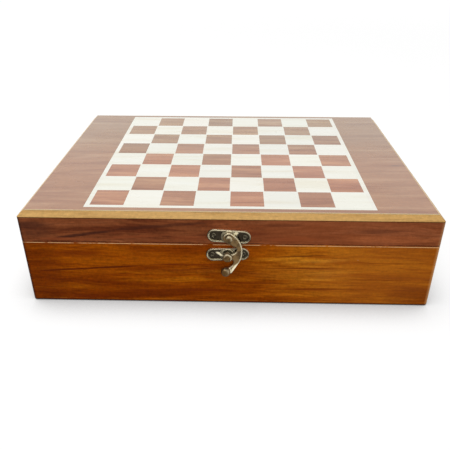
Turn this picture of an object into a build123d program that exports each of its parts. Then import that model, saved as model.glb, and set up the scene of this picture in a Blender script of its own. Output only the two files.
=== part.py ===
"""Games compendium box: a hinged wooden case with an inlaid chessboard lid, a swing-hook latch,
two mortised butt hinges and a fitted interior that holds chess, draughts, dominoes, cards and dice.

Frame: millimetres, +Z up, +Y towards the hinges, origin at the middle of the case's underside.
"""

import os
from math import atan2, cos, degrees, radians, sin, tan

from build123d import *

# ---------------------------------------------------------------- driving sizes (mm)
# Timber
wall = 8.0                    # thickness of the case and lid boards
corner_round = 1.8            # outer upright corners
foot_round = 1.5              # outer bottom arris of the case
seam_chamfer = 0.35           # broken arris on each side of the seam
bottom_thickness = 3.0        # plywood floor panel
bottom_rebate = 4.0           # how far the floor panel is let in under the boards
lid_rail_height = 19.0        # lid boards, seam to top panel
top_core_thickness = 3.4      # fibreboard core of the lid's top panel
top_bevel_run = 3.85          # how far the bevelled edge of the core leans in
veneer = 0.5                  # thickness of the board's veneers
felt = 1.0                    # thickness of the linings
felt_fit = 0.3                # gap round each lining

# Chessboard
squares_a_side = 8
board_border = 3.0            # light line round the squares
board_margin = 4.65           # dark surround between the border and the bevel, front and back
square_gap = 0.8              # light line that shows between two dark squares' corners

# Dividers
divider = 4.0                 # thickness of the dividers
divider_height = 34.0
housing_depth = 2.0           # how far a divider is let into a case board
tee_depth = 1.0               # how far a cross divider is let into the long one
housing_fit = 0.05            # clearance on each side of a divider in its housing
notch_radius = 9.0            # finger notch in a divider's top edge
rim_headroom = 11.8           # dividers' top up to the seam

# Chessmen: the height and base diameter of each
king_height = 50.0
king_base = 18.0
queen_height = 45.0
queen_base = 17.5
bishop_height = 40.0
bishop_base = 16.5
knight_height = 36.0
knight_base = 16.5
rook_height = 31.0
rook_base = 16.5
pawn_height = 28.0
pawn_base = 14.0
chessman_gap = 1.4            # between the king's base and its neighbour's place
chess_well_slack = 2.8        # spare length of a chess well
chess_row_gap = 2.0           # from a chessman's base to its divider or wall
cross_thickness = 1.6         # the king's cross
cross_waist = 0.55            # half the width of a cross arm at the middle
cross_end = 1.0               # half the width of a cross arm at its end
cross_sink = 0.4              # how deep the cross is let into the crown
pawn_ball = 4.4               # radius of a pawn's head
bishop_ball = 1.6             # radius of the ball on a mitre
queen_ball = 1.3              # radius of the ball on the coronet
coronet_notch = 0.9           # radius of the notches in the queen's coronet
coronet_points = 8
mitre_cut = 0.9               # width of the slanting cut in a bishop
knight_ear_slot = 1.6         # gap between a knight's ears

# Draughts
draught_radius = 11.0
draught_thickness = 5.5
draught_arris = 0.6
draught_dish_radius = 7.0     # sunk middle of each face
draught_dish_depth = 0.5
draught_dish_slope = 0.7      # how far the dish's side runs in
draught_gap = 0.6             # between two stacks
draught_well_slack = 3.0
draught_stacks = 4
draughts_in_stack = 3

# Dominoes
domino_length, domino_width, domino_thickness = 38.0, 19.0, 4.8
domino_corner = 1.0
domino_gap = 0.6              # between two stacks
domino_well_slack = 3.4
domino_stacks = 2             # along each side of the square of stacks
dominoes_in_stack = 7

# Playing cards
card_length, card_width, card_pack_thickness = 88.0, 63.0, 16.8
card_corner = 3.5
card_well_slack = 2.0
finger_room = 19.0            # free length beside a pack of cards

# Dice
dice_side = 13.0
dice_round = 1.4              # rounding of a die's edges
dice_well = 26.0              # width of the dice well
dice_pitch = 18.5
dice_turns = [8.0, -21.0, 34.0, -6.0, 17.0]   # how each die happens to lie, in degrees

# Hinges
hinge_from_end = 54.5         # each hinge's middle from the end of the case
hinge_length = 25.0
hinge_inset = 1.5             # hinge axis in front of the case's back face
barrel_radius = 2.0
knuckles = 5
knuckle_gap = 0.15
leaf_thickness = 0.9
leaf_depth = 5.6              # from the hinge axis to the leaf's free edge
leaf_gap = 0.3                # between the closed leaves
hinge_pin_radius = 1.0
pin_running_fit = 0.06
pin_overhang = 0.5            # pin past the end knuckles
hinge_clearance = 0.3         # timber round the barrel, and leaf past its mating knuckles
mortise_fit = 0.1             # timber round a leaf
lid_opening = 105.0           # degrees
stop_clearance = 1.0          # degrees left between the stop bevels at full opening

# Latch
latch_rise = 6.7              # hook pivot above the seam
catch_drop = 7.4              # catch post below the seam
catch_shift = -1.0            # catch post to the left of the hook pivot
latch_tilt = -3.5             # degrees, the lean of the hand-fitted upper plate
catch_tilt = 2.0              # degrees, the lean of the lower plate
plate_length, plate_height, plate_thickness = 29.4, 9.6, 1.7
plate_rim = 1.0               # width of the raised rim
dish_depth = 0.8              # depth of the screw dishes behind the rim
plate_arris = 0.5
boss_radius, boss_rise = 4.4, 0.4
rivet_radius, rivet_fit = 1.5, 0.06
rivet_head_radius, rivet_head_rise, rivet_arris = 2.4, 2.0, 0.9
post_neck_radius, post_radius, post_head_rise, post_arris = 2.4, 3.1, 2.7, 0.6

# Swing hook
hook_thickness = 1.6
hook_play = 0.1               # under and over the hook
hook_arris = 0.4
hook_eye_radius = 4.0
seat_fit = 0.15               # hook's seat round the post's neck
seat_top, seat_foot = 30.0, -40.0    # degrees round the post where the seat starts and ends
knob_radius, knob_lift = 3.3, 4.1    # thumb ball, and its middle out from the board
# Stops along the hook's edge, measured right and up from its pivot
hook_nape, hook_back, hook_belly = (0.8, 3.9), (6.4, -1.0), (9.1, -10.6)
hook_hip, hook_hock, hook_heel = (8.3, -16.4), (6.1, -20.7), (1.6, -28.6)
hook_knob, hook_neck, hook_throat = (-2.2, -26.6), (-0.3, -24.2), (1.9, -21.8)
hook_crook, hook_lip, hook_bay = (3.1, -18.6), (4.1, -11.3), (5.4, -8.6)
hook_bay_top, hook_arch, hook_eye_foot = (4.9, -7.4), (3.7, -6.8), (-1.5, -3.7)

# Screws
latch_screw_spacing = 21.2
latch_screw_head, latch_screw_head_rise = 2.1, 0.7
latch_screw_shank, latch_screw_length = 0.9, 6.0
hinge_screw_spacing = 15.0
hinge_screw_head, hinge_screw_head_rise = 1.35, 0.5
hinge_screw_shank, hinge_screw_length = 0.75, 7.0
screw_fit = 0.05              # clearance round a screw in its hole
screw_from_leaf_edge = 1.8    # hinge screw's axis from the leaf's free edge

# ---------------------------------------------------------------- sizes that follow
chess_pitch = king_base + chessman_gap
chess_block = squares_a_side * chess_pitch + chess_well_slack
small_block = card_length + finger_room
inner_width = chess_block + divider + small_block
case_width = inner_width + 2 * wall

card_well = card_width + card_well_slack
domino_well = domino_stacks * domino_width + (domino_stacks - 1) * domino_gap + domino_well_slack
draught_well = 2 * draught_radius + draught_well_slack
inner_depth = card_well + domino_well + 2 * draught_well + dice_well + 4 * divider
case_depth = inner_depth + 2 * wall

floor_top = bottom_thickness + felt
divider_top = floor_top + divider_height
seam = divider_top + rim_headroom
lid_rail_top = seam + lid_rail_height
core_top = lid_rail_top + top_core_thickness
board_top = core_top + veneer

top_width = case_width - 2 * top_bevel_run
top_depth = case_depth - 2 * top_bevel_run
board_side = top_depth - 2 * board_margin
square = (board_side - 2 * board_border) / squares_a_side

axis_y = case_depth / 2 - hinge_inset
hinge_offset = case_width / 2 - hinge_from_end
stop_half_angle = (lid_opening + stop_clearance) / 2

long_divider_left = -inner_width / 2 + chess_block
long_divider_right = long_divider_left + divider
inner_right, inner_back = inner_width / 2, inner_depth / 2

hook_underside = plate_thickness + boss_rise + hook_play
hook_top = hook_underside + hook_thickness
cutter_reach = 5.0            # how far a cutting solid runs past what it cuts


# ---------------------------------------------------------------- small helpers
def block(x0, x1, y0, y1, z0, z1):
    """A box between two corners."""
    return Pos((x0 + x1) / 2, (y0 + y1) / 2, (z0 + z1) / 2) * Box(x1 - x0, y1 - y0, z1 - z0)


def outline(stops):
    """Edges through (across, up) stops. Four numbers make an arc by way of the first two."""
    edges = []
    for before, stop in zip(stops, stops[1:]):
        start, end = before[-2:], stop[-2:]
        edges.append(ThreePointArc(start, stop[:2], end) if len(stop) == 4 else Line(start, end))
    return edges


def turned(stops):
    """A solid of revolution about Z from (radius, height) stops, closed along the axis."""
    (r0, z0), (r1, z1) = stops[0][-2:], stops[-1][-2:]
    corners = [(r1, z1), (0, z1), (0, z0), (r0, z0)]
    closing = [Line(a, b) for a, b in zip(corners, corners[1:]) if a != b]
    return revolve(Plane.XZ * make_face(outline(stops) + closing), Axis.Z)


def edges_at(solid, z):
    """The edges of a solid that lie at one height."""
    return solid.edges().filter_by_position(Axis.Z, z, z)


def rod_along_x(radius, x0, x1, y, z):
    """A round bar parallel to X."""
    return Pos((x0 + x1) / 2, y, z) * Rot(0, 90, 0) * Cylinder(radius, x1 - x0)


def save(name, *solids):
    """Writes one sub-part, of one solid or of several alike, to its own STEP file."""
    shape = solids[0] if len(solids) == 1 else Compound(children=list(solids))
    shape.label = name
    export_step(shape, f"parts/{name}.step")


# ---------------------------------------------------------------- screws
def screw(head_radius, head_rise, shank_radius, length, grow=0.0):
    """A wood screw pointing down -Z with its head's seat at Z 0. Grown, it is the hole it needs."""
    head_edge = head_rise * 0.35
    dome = head_radius * 0.7
    return turned([
        (0.15 * shank_radius, -length - grow),
        (shank_radius + grow, -length + 1.5 * shank_radius),
        (shank_radius + grow, 0),
        (head_radius + grow, 0),
        (head_radius + grow, head_edge),
        (dome + grow, head_rise),
    ])


def flush_screw(grow=0.0):
    """A countersunk hinge screw pointing down -Z with the top of its head at Z 0."""
    return turned([
        (0.15 * hinge_screw_shank, -hinge_screw_length - grow),
        (hinge_screw_shank + grow, -hinge_screw_length + 1.5 * hinge_screw_shank),
        (hinge_screw_shank + grow, -hinge_screw_head_rise),
        (hinge_screw_head + grow, 0),
    ])


def latch_screw(grow=0.0):
    return screw(latch_screw_head, latch_screw_head_rise, latch_screw_shank, latch_screw_length, grow)


# ---------------------------------------------------------------- where things sit
def front_place(x, z, tilt=0.0):
    """A place on the case's front, with local Z pointing out of it and local Y up."""
    return Plane(origin=(x, -case_depth / 2, z), x_dir=(1, 0, 0), z_dir=(0, -1, 0)).location * Rot(0, 0, tilt)


hook_place = front_place(0, seam + latch_rise)
latch_place = front_place(0, seam + latch_rise, latch_tilt)
catch_place = front_place(catch_shift, seam - catch_drop, catch_tilt)


def latch_screw_places(plate_place):
    """The two screws of one latch plate, seated on the floor of its dishes."""
    seat = plate_thickness - dish_depth
    return [plate_place * Pos(side * latch_screw_spacing / 2, 0, seat) for side in (-1, 1)]


def hinge_screw_places(hinge_x, up):
    """The two screws of one hinge leaf, driven down into the case (up -1) or up into the lid (up 1)."""
    y = axis_y - leaf_depth + screw_from_leaf_edge
    z = seam + up * leaf_gap / 2
    turn = Rot(180, 0, 0) if up > 0 else Rot(0, 0, 0)
    return [Pos(hinge_x + side * hinge_screw_spacing / 2, y, z) * turn for side in (-1, 1)]


# ---------------------------------------------------------------- hinges
def knuckle_spans(hinge_x, of_lid):
    """X spans of the knuckles of one leaf: the case leaf has the end ones."""
    pitch = hinge_length / knuckles
    first = hinge_x - hinge_length / 2
    spans = []
    for n in range(knuckles):
        if (n % 2 == 1) == of_lid:
            spans.append((first + n * pitch + knuckle_gap / 2, first + (n + 1) * pitch - knuckle_gap / 2))
    return spans


def hinge_leaf(hinge_x, up):
    """One leaf with its knuckles rolled round the pin. The lid's leaf has up 1."""
    z0, z1 = sorted((seam + up * leaf_gap / 2, seam + up * (leaf_gap / 2 + leaf_thickness)))
    clear_y = axis_y - barrel_radius - hinge_clearance
    half = hinge_length / 2
    leaf = block(hinge_x - half, hinge_x + half, axis_y - leaf_depth, clear_y, z0, z1)
    for x0, x1 in knuckle_spans(hinge_x, up > 0):
        leaf += block(x0, x1, clear_y, axis_y, z0, z1) + rod_along_x(barrel_radius, x0, x1, axis_y, seam)
    leaf -= rod_along_x(hinge_pin_radius + pin_running_fit, hinge_x - half, hinge_x + half, axis_y, seam)
    for place in hinge_screw_places(hinge_x, up):
        leaf -= place * flush_screw(screw_fit)
    return leaf


def hinge_pin(hinge_x):
    half = hinge_length / 2 + pin_overhang
    pin = rod_along_x(hinge_pin_radius, hinge_x - half, hinge_x + half, axis_y, seam)
    return chamfer(pin.edges(), pin_overhang / 2)


def hinge_mortise(hinge_x, up):
    """The timber removed for one leaf and for the barrel."""
    z0, z1 = sorted((seam, seam + up * (leaf_gap / 2 + leaf_thickness)))
    half = hinge_length / 2 + mortise_fit
    ends = hinge_length / 2 + pin_overhang + hinge_clearance
    seat = block(hinge_x - half, hinge_x + half, axis_y - leaf_depth - mortise_fit, axis_y, z0, z1)
    barrel = rod_along_x(barrel_radius + hinge_clearance, hinge_x - ends, hinge_x + ends, axis_y, seam)
    return seat + barrel


def stop_bevel(up):
    """The wedge taken off the back arris, from the hinge axis out, so that the lid stops on the case."""
    run = hinge_inset + cutter_reach
    rise = up * run * tan(radians(stop_half_angle))
    wedge = Polyline((axis_y, seam), (axis_y + run, seam), (axis_y + run, seam + rise), close=True)
    return extrude(Plane.YZ * make_face(wedge), case_width, both=True)


# ---------------------------------------------------------------- timber rings
def mitre_wedge(side):
    """The upright prism that one of four mitred boards is cut from."""
    x, y = case_width / 2 + cutter_reach, case_depth / 2 + cutter_reach
    spine = (case_width - case_depth) / 2
    plan = {
        "front": [(-x, -y), (x, -y), (spine, 0), (-spine, 0)],
        "back": [(x, y), (-x, y), (-spine, 0), (spine, 0)],
        "left": [(-x, y), (-x, -y), (-spine, 0)],
        "right": [(x, -y), (x, y), (spine, 0)],
    }[side]
    return extrude(make_face(Polyline(*plan, close=True)), board_top)


def ring(z0, z1):
    """The four boards of the case or the lid in one piece, before mitring."""
    height = z1 - z0
    outer = extrude(RectangleRounded(case_width, case_depth, corner_round), height)
    return Pos(0, 0, z0) * (outer - extrude(Rectangle(inner_width, inner_depth), height))


def break_arris(boards, z, length):
    """Chamfers the outer edges that lie at one height all round a ring."""
    edges = [
        e for e in edges_at(boards, z)
        if max(abs(e.center().X) - inner_width / 2, abs(e.center().Y) - inner_depth / 2) > wall / 2
    ]
    return chamfer(edges, length)


def case_ring():
    boards = ring(0, seam)
    feet = [
        e for e in edges_at(boards, 0)
        if max(abs(e.center().X) - inner_width / 2, abs(e.center().Y) - inner_depth / 2) > wall / 2
    ]
    boards = fillet(feet, foot_round)
    boards = break_arris(boards, seam, seam_chamfer)
    boards -= bottom_panel()
    boards -= stop_bevel(-1)
    for cutter in divider_housings():
        boards -= cutter
    for hinge_x in (-hinge_offset, hinge_offset):
        boards -= hinge_mortise(hinge_x, -1)
        for place in hinge_screw_places(hinge_x, -1):
            boards -= place * flush_screw(screw_fit)
    for place in latch_screw_places(catch_place):
        boards -= place * latch_screw(screw_fit)
    return boards


def lid_ring():
    boards = break_arris(ring(seam, lid_rail_top), seam, seam_chamfer)
    boards -= stop_bevel(1)
    for hinge_x in (-hinge_offset, hinge_offset):
        boards -= hinge_mortise(hinge_x, 1)
        for place in hinge_screw_places(hinge_x, 1):
            boards -= place * flush_screw(screw_fit)
    for place in latch_screw_places(latch_place):
        boards -= place * latch_screw(screw_fit)
    return boards


def bottom_panel():
    width = case_width - 2 * (wall - bottom_rebate)
    depth = case_depth - 2 * (wall - bottom_rebate)
    return extrude(Rectangle(width, depth), bottom_thickness)


def lining(z):
    """A felt sheet that fills the inside at one height."""
    return Pos(0, 0, z) * extrude(Rectangle(inner_width - 2 * felt_fit, inner_depth - 2 * felt_fit), felt)


# ---------------------------------------------------------------- lid top
def top_core():
    """The fibreboard panel whose sawn edge is planed to a bevel all round."""
    foot = RectangleRounded(case_width, case_depth, corner_round)
    top = Pos(0, 0, top_core_thickness) * RectangleRounded(top_width, top_depth, corner_round / 2)
    return Pos(0, 0, lid_rail_top) * loft([foot, top], ruled=True)


def square_centres(parity):
    """Centres of the dark (parity 0) or light (parity 1) squares. The near left one is dark."""
    first = -board_side / 2 + board_border + square / 2
    cells = range(squares_a_side)
    return [(first + i * square, first + j * square) for i in cells for j in cells if (i + j) % 2 == parity]


def dark_squares():
    side = square - square_gap
    return [Pos(x, y, core_top) * extrude(Rectangle(side, side), veneer) for x, y in square_centres(0)]


def light_field():
    """One light sheet with windows for the dark squares."""
    side = square - square_gap
    sheet = Rectangle(board_side, board_side)
    for x, y in square_centres(0):
        sheet -= Pos(x, y) * Rectangle(side, side)
    return Pos(0, 0, core_top) * extrude(sheet, veneer)


def surround():
    frame = RectangleRounded(top_width, top_depth, corner_round / 2) - Rectangle(board_side, board_side)
    return Pos(0, 0, core_top) * extrude(frame, veneer)


# ---------------------------------------------------------------- dividers
def cross_divider_fronts():
    """The front face of each cross divider of the small block, from the back of the case forwards."""
    wells = {
        "card": card_well, "domino": domino_well, "dark_draught": draught_well, "light_draught": draught_well,
    }
    fronts, y = {}, inner_back
    for name, well in wells.items():
        y -= well + divider
        fronts[name] = y
    return fronts


def upright(x0, x1, y0, y1):
    """A divider board standing on the lining."""
    return block(x0, x1, y0, y1, floor_top, divider_top)


def long_divider():
    board = upright(
        long_divider_left, long_divider_right, -inner_back - housing_depth, inner_back + housing_depth
    )
    for name in cross_divider_fronts():
        board -= cross_divider(name, housing_fit)
    return board - chess_divider(housing_fit)


def chess_divider(grow=0.0):
    """Parts the two chess wells. Grown, it is the housing it needs."""
    half = divider / 2 + grow
    return upright(-inner_right - housing_depth, long_divider_left + tee_depth, -half, half)


def cross_divider(name, grow=0.0):
    """Parts two wells of the small block. Grown, it is the housing it needs."""
    y = cross_divider_fronts()[name]
    board = upright(long_divider_right - tee_depth, inner_right + housing_depth, y - grow, y + divider + grow)
    if grow:
        return board
    middle = (long_divider_right + inner_right) / 2
    notch = Pos(middle, y + divider / 2, divider_top) * Rot(90, 0, 0) * Cylinder(notch_radius, 2 * divider)
    return board - notch


def divider_housings():
    """The grooves that the case boards need for the dividers' ends."""
    long_one = upright(
        long_divider_left - housing_fit, long_divider_right + housing_fit,
        -inner_back - housing_depth, inner_back + housing_depth,
    )
    cross_ones = [cross_divider(name, housing_fit) for name in cross_divider_fronts()]
    return [long_one, chess_divider(housing_fit), *cross_ones]


# ---------------------------------------------------------------- latch
def latch_plate():
    """A cast plate: raised rim, a dish for each screw and a round boss between them."""
    plate = extrude(SlotOverall(plate_length, plate_height), plate_thickness)
    plate = fillet(plate.faces().sort_by(Axis.Z)[-1].edges(), plate_arris)
    dish = extrude(SlotOverall(plate_length - 2 * plate_rim, plate_height - 2 * plate_rim), plate_thickness)
    dish -= Cylinder(boss_radius + plate_rim, 4 * plate_thickness)
    plate -= Pos(0, 0, plate_thickness - dish_depth) * dish
    boss = Pos(0, 0, (plate_thickness + boss_rise) / 2) * Cylinder(boss_radius, plate_thickness + boss_rise)
    plate += boss
    plate -= Cylinder(rivet_radius + rivet_fit, 4 * plate_thickness)
    screw_hole = Cylinder(latch_screw_shank + screw_fit, 4 * plate_thickness)
    for side in (-1, 1):
        plate -= Pos(side * latch_screw_spacing / 2, 0, 0) * screw_hole
    return plate


def hook_seat():
    """Three places on the arc that rests against the post's neck, from its foot to its top."""
    radius = post_neck_radius + seat_fit
    drop = latch_rise + catch_drop
    turns = [radians(turn) for turn in (seat_foot, (seat_foot + seat_top) / 2, seat_top)]
    return [(catch_shift + radius * cos(turn), radius * sin(turn) - drop) for turn in turns]


def swing_hook():
    """The crescent hook about its pivot: an eye, a bay, a seat for the catch post and a thumb knob."""
    seat_start, seat_middle, seat_end = hook_seat()
    pivot = (0, 0)
    crescent = make_face(outline([
        hook_nape,
        hook_back + hook_belly,
        hook_hip + hook_hock,
        hook_heel,
        hook_knob,
        hook_neck,
        hook_throat,
        hook_crook + seat_start,
        seat_middle + seat_end,
        hook_lip + hook_bay,
        hook_bay_top + hook_arch,
        hook_eye_foot,
        pivot,
        hook_nape,
    ]))
    flat = extrude(Circle(hook_eye_radius) + crescent, hook_thickness)
    flat = fillet(edges_at(flat, hook_thickness), hook_arris)
    ball = Rot(0, 0, 180) * Sphere(knob_radius)  # turned so its seam stays clear of the hook's arm
    hook = flat + Pos(*hook_knob, knob_lift - hook_underside) * ball
    hook -= Cylinder(rivet_radius + rivet_fit, 4 * hook_thickness)
    return Pos(0, 0, hook_underside) * hook


def hook_rivet():
    """The headed pin the hook swings on."""
    head = hook_top + hook_play
    top = head + rivet_head_rise
    pin = turned([
        (rivet_radius, 0),
        (rivet_radius, head),
        (rivet_head_radius, head),
        (rivet_head_radius, top),
    ])
    return fillet(edges_at(pin, top), rivet_arris)


def catch_post():
    """The necked post the hook engages: its head overhangs the hook's edge."""
    foot = plate_thickness + boss_rise
    shoulder = hook_top + 1.5 * hook_play
    top = shoulder + post_head_rise
    post = turned([
        (rivet_radius, 0),
        (rivet_radius, foot),
        (post_neck_radius, foot),
        (post_neck_radius, shoulder),
        (post_radius, shoulder),
        (post_radius, top),
    ])
    return fillet(edges_at(post, top), post_arris)


# ---------------------------------------------------------------- chessmen
def to_size(shares, base, height):
    """Turns stops given as shares of the base radius and of the height into millimetres."""
    units = (base / 2, height)
    return [tuple(share * units[n % 2] for n, share in enumerate(stop)) for stop in shares]


# Stops of the turned men, as shares of base radius and height: a rounded foot, then each man's own shape
foot = [(0.92, 0), (1.0, 0.045, 0.92, 0.09), (0.80, 0.105)]
pawn_shape = [
    (0.42, 0.28, 0.32, 0.57), (0.56, 0.585), (0.62, 0.615, 0.56, 0.645), (0.30, 0.665), (0.30, 0.74),
]
rook_shape = [
    (0.60, 0.28, 0.54, 0.60), (0.66, 0.62), (0.71, 0.645, 0.66, 0.67), (0.58, 0.685),
    (0.60, 0.75, 0.76, 0.79), (0.76, 1.0),
]
bishop_shape = [
    (0.40, 0.27, 0.30, 0.60), (0.56, 0.615), (0.62, 0.635, 0.56, 0.655), (0.36, 0.67), (0.36, 0.69),
    (0.58, 0.79, 0.133, 0.935),
]
queen_shape = [
    (0.38, 0.27, 0.28, 0.62), (0.54, 0.635), (0.60, 0.655, 0.54, 0.675), (0.36, 0.69), (0.34, 0.72),
    (0.38, 0.83, 0.60, 0.90), (0.62, 0.915), (0.44, 0.922), (0.32, 0.945, 0.12, 0.956),
]
king_shape = [
    (0.38, 0.27, 0.28, 0.60), (0.54, 0.615), (0.60, 0.635, 0.54, 0.655), (0.36, 0.67), (0.34, 0.70),
    (0.40, 0.79, 0.62, 0.85), (0.62, 0.865), (0.42, 0.892, 0.14, 0.905),
]
knight_shape = [(0.80, 0.13), (0.70, 0.15, 0.68, 0.19), (0.68, 0.24)]
chess_stops = {
    "pawn": to_size(foot + pawn_shape, pawn_base, pawn_height),
    "rook": to_size(foot + rook_shape, rook_base, rook_height),
    "knight": to_size(foot + knight_shape, knight_base, knight_height),
    "bishop": to_size(foot + bishop_shape, bishop_base, bishop_height),
    "queen": to_size(foot + queen_shape, queen_base, queen_height),
    "king": to_size(foot + king_shape, king_base, king_height),
}
# The balls that top three of them: radius, and height of the ball's middle
ball_sizes = {
    "pawn": (pawn_ball, pawn_height - pawn_ball),
    "bishop": (bishop_ball, bishop_height - bishop_ball),
    "queen": (queen_ball, queen_height - queen_ball),
}
# A horse's head seen from its side, as shares of base radius and height: chest, muzzle, ear, mane
horse_side = [
    (-0.56, 0.22), (-0.68, 0.36, -0.36, 0.49), (-0.24, 0.56, -0.46, 0.60), (-0.86, 0.55),
    (-0.99, 0.59, -0.93, 0.65), (-0.50, 0.82), (-0.24, 0.89), (-0.14, 1.0), (0.08, 0.90),
    (0.78, 0.69, 0.60, 0.36), (0.54, 0.28, 0.64, 0.22), (-0.56, 0.22),
]
# Half of the same head seen from above, as shares of base radius: mane, cheek, muzzle
horse_plan = [(0.80, 0.26), (0.30, 0.42), (-0.35, 0.42), (-0.60, 0.28), (-1.0, 0.24)]
cheek = horse_plan[1][1] * knight_base / 2


def balled(kind):
    """A turned man with a ball on top."""
    radius, middle = ball_sizes[kind]
    return turned(chess_stops[kind]) + Pos(0, 0, middle) * Sphere(radius)


def rook():
    """A tower with a sunk top and four crenels."""
    r, slot = rook_shape[-1][0] * rook_base / 2, 0.22 * rook_base
    sink = 0.10 * rook_height
    tower = turned(chess_stops["rook"])
    tower -= Pos(0, 0, rook_height) * Cylinder(0.66 * r, 2 * sink)
    for turn in (0, 90):
        tower -= Pos(0, 0, rook_height) * Rot(0, 0, turn) * Box(2.2 * r, slot, sink)
    return tower


def bishop():
    """A mitre with one slanting cut."""
    cut = Box(0.5 * bishop_base, bishop_base, mitre_cut)
    place = Pos(0.25 * bishop_base, 0, 0.87 * bishop_height) * Rot(0, -35, 0)
    return balled("bishop") - place * cut


def queen():
    """A coronet with scooped notches under a small ball."""
    rim_radius, rim_height = chess_stops["queen"][-3]
    lady = balled("queen")
    notch = Pos(rim_radius, 0, rim_height) * Rot(0, 90, 0) * Cylinder(coronet_notch, rim_radius)
    for n in range(coronet_points):
        lady -= Rot(0, 0, (n + 0.5) * 360 / coronet_points) * notch
    return lady


def king():
    """A crowned head with a cross whose arms widen outwards."""
    dome_top = chess_stops["king"][-1][-1]
    reach = (king_height - dome_top + cross_sink) / 2
    corners = [(-cross_waist, 0), (cross_waist, 0), (cross_end, reach), (-cross_end, reach)]
    arm = make_face(Polyline(*corners, close=True))
    cross = Rectangle(2 * cross_waist, 2 * cross_waist)
    for turn in (0, 90, 180, 270):
        cross += Rot(0, 0, turn) * arm
    cross = extrude(Plane.YZ * cross, cross_thickness / 2, both=True)
    return turned(chess_stops["king"]) + Pos(0, 0, king_height - reach) * cross


def knight():
    """A sawn and carved horse's head on a turned foot. It faces -Y."""
    side = make_face(outline(to_size(horse_side, knight_base, knight_height)))
    half = to_size(horse_plan, knight_base, knight_base / 2)
    plan = Polyline(*[(x, y) for y, x in half], *[(-x, y) for y, x in reversed(half)], close=True)
    head = extrude(Plane.YZ * side, cheek, both=True) & extrude(make_face(plan), knight_height)
    slot = Pos(0, 0, knight_height) * Box(knight_ear_slot, knight_base, 0.16 * knight_height)
    return turned(chess_stops["knight"]) + (head - slot)


chess_solids = {
    "pawn": lambda: balled("pawn"),
    "rook": rook,
    "knight": knight,
    "bishop": bishop,
    "queen": queen,
    "king": king,
}
officers = ["rook", "knight", "bishop", "queen", "king", "bishop", "knight", "rook"]


def touch_points(kind):
    """Places along a chessman's outline that could touch the floor: those of its foot, and the rest."""
    steps = 64
    points = [edge @ (n / steps) for edge in outline(chess_stops[kind]) for n in range(steps + 1)]
    points = [(point.X, point.Y) for point in points]
    if kind in ball_sizes:
        radius, middle = ball_sizes[kind]
        turns = [radians(90 * n / steps) for n in range(steps + 1)]
        points += [(radius * cos(turn), middle + radius * sin(turn)) for turn in turns]
    if kind == "knight":
        points.append((cheek, knight_height))
    foot_top = chess_stops[kind][1][-1]
    return [p for p in points if p[1] <= foot_top], [p for p in points if p[1] > foot_top]


def reach_down(points, lean):
    """How far below its axis a chessman reaches when it leans."""
    return max(radius * cos(lean) + height * sin(lean) for radius, height in points)


def lying_lean(kind):
    """The angle at which a chessman on its side rests on both its foot and its head, found by halving."""
    low, high = 0, radians(45)
    lower, upper = touch_points(kind)
    for _ in range(40):
        middle = (low + high) / 2
        if reach_down(upper, middle) < reach_down(lower, middle):
            low = middle
        else:
            high = middle
    return low


def lying(kind, x, y, heading):
    """A chessman on its side on the lining, base at y, head towards heading (1 back, -1 forwards)."""
    lean = lying_lean(kind)
    drop = reach_down(touch_points(kind)[0], lean)
    lay_down = Rot(-heading * (90 + degrees(lean)), 0, 0) * Rot(0, 0, 90)
    return Pos(x, y, floor_top + drop) * lay_down * chess_solids[kind]()


def chess_rows(side):
    """All sixteen of one colour by kind: officers along the chess divider, pawns along the outer wall.

    side is 1 for the back well and -1 for the front one.
    """
    first = -inner_right + (chess_well_slack + chess_pitch) / 2
    officer_y = side * (divider / 2 + chess_row_gap)
    pawn_y = side * (inner_back - chess_row_gap)
    rows = {}
    for n, kind in enumerate(officers):
        rows.setdefault(kind, []).append(lying(kind, first + n * chess_pitch, officer_y, side))
        rows.setdefault("pawn", []).append(lying("pawn", first + n * chess_pitch, pawn_y, -side))
    return rows


# ---------------------------------------------------------------- other games
def draught():
    """A draughtsman with a dished face on both sides."""
    rim, edge = draught_radius - draught_arris, draught_thickness - draught_arris
    dish_floor = draught_dish_radius - draught_dish_slope
    return turned([
        (dish_floor, draught_dish_depth),
        (draught_dish_radius, 0),
        (rim, 0),
        (draught_radius, draught_arris),
        (draught_radius, edge),
        (rim, draught_thickness),
        (draught_dish_radius, draught_thickness),
        (dish_floor, draught_thickness - draught_dish_depth),
    ])


def draughts(divider_name):
    """Twelve men of one colour in stacks, in the well behind the named divider."""
    pitch = 2 * draught_radius + draught_gap
    y = cross_divider_fronts()[divider_name] + divider + draught_well / 2
    x0 = (long_divider_right + inner_right) / 2 - pitch * (draught_stacks - 1) / 2
    man = draught()
    return [
        Pos(x0 + n * pitch, y, floor_top + level * draught_thickness) * man
        for n in range(draught_stacks) for level in range(draughts_in_stack)
    ]


def dominoes():
    """Twenty-eight tiles in a square of stacks against the long divider's end of their well."""
    y = cross_divider_fronts()["domino"] + divider + domino_well / 2
    x = inner_right - domino_gap - domino_length * domino_stacks / 2 - domino_gap / 2
    offset_x, offset_y = (domino_length + domino_gap) / 2, (domino_width + domino_gap) / 2
    tile = extrude(RectangleRounded(domino_length, domino_width, domino_corner), domino_thickness)
    return [
        Pos(x + i * offset_x, y + j * offset_y, floor_top + level * domino_thickness) * tile
        for i in (-1, 1) for j in (-1, 1) for level in range(dominoes_in_stack)
    ]


def card_pack(level):
    """A squared-up pack of cards, one on top of the other."""
    y = cross_divider_fronts()["card"] + divider + card_well / 2
    x = inner_right - card_well_slack / 2 - card_length / 2
    pack = extrude(RectangleRounded(card_length, card_width, card_corner), card_pack_thickness)
    return Pos(x, y, floor_top + level * card_pack_thickness) * pack


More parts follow.
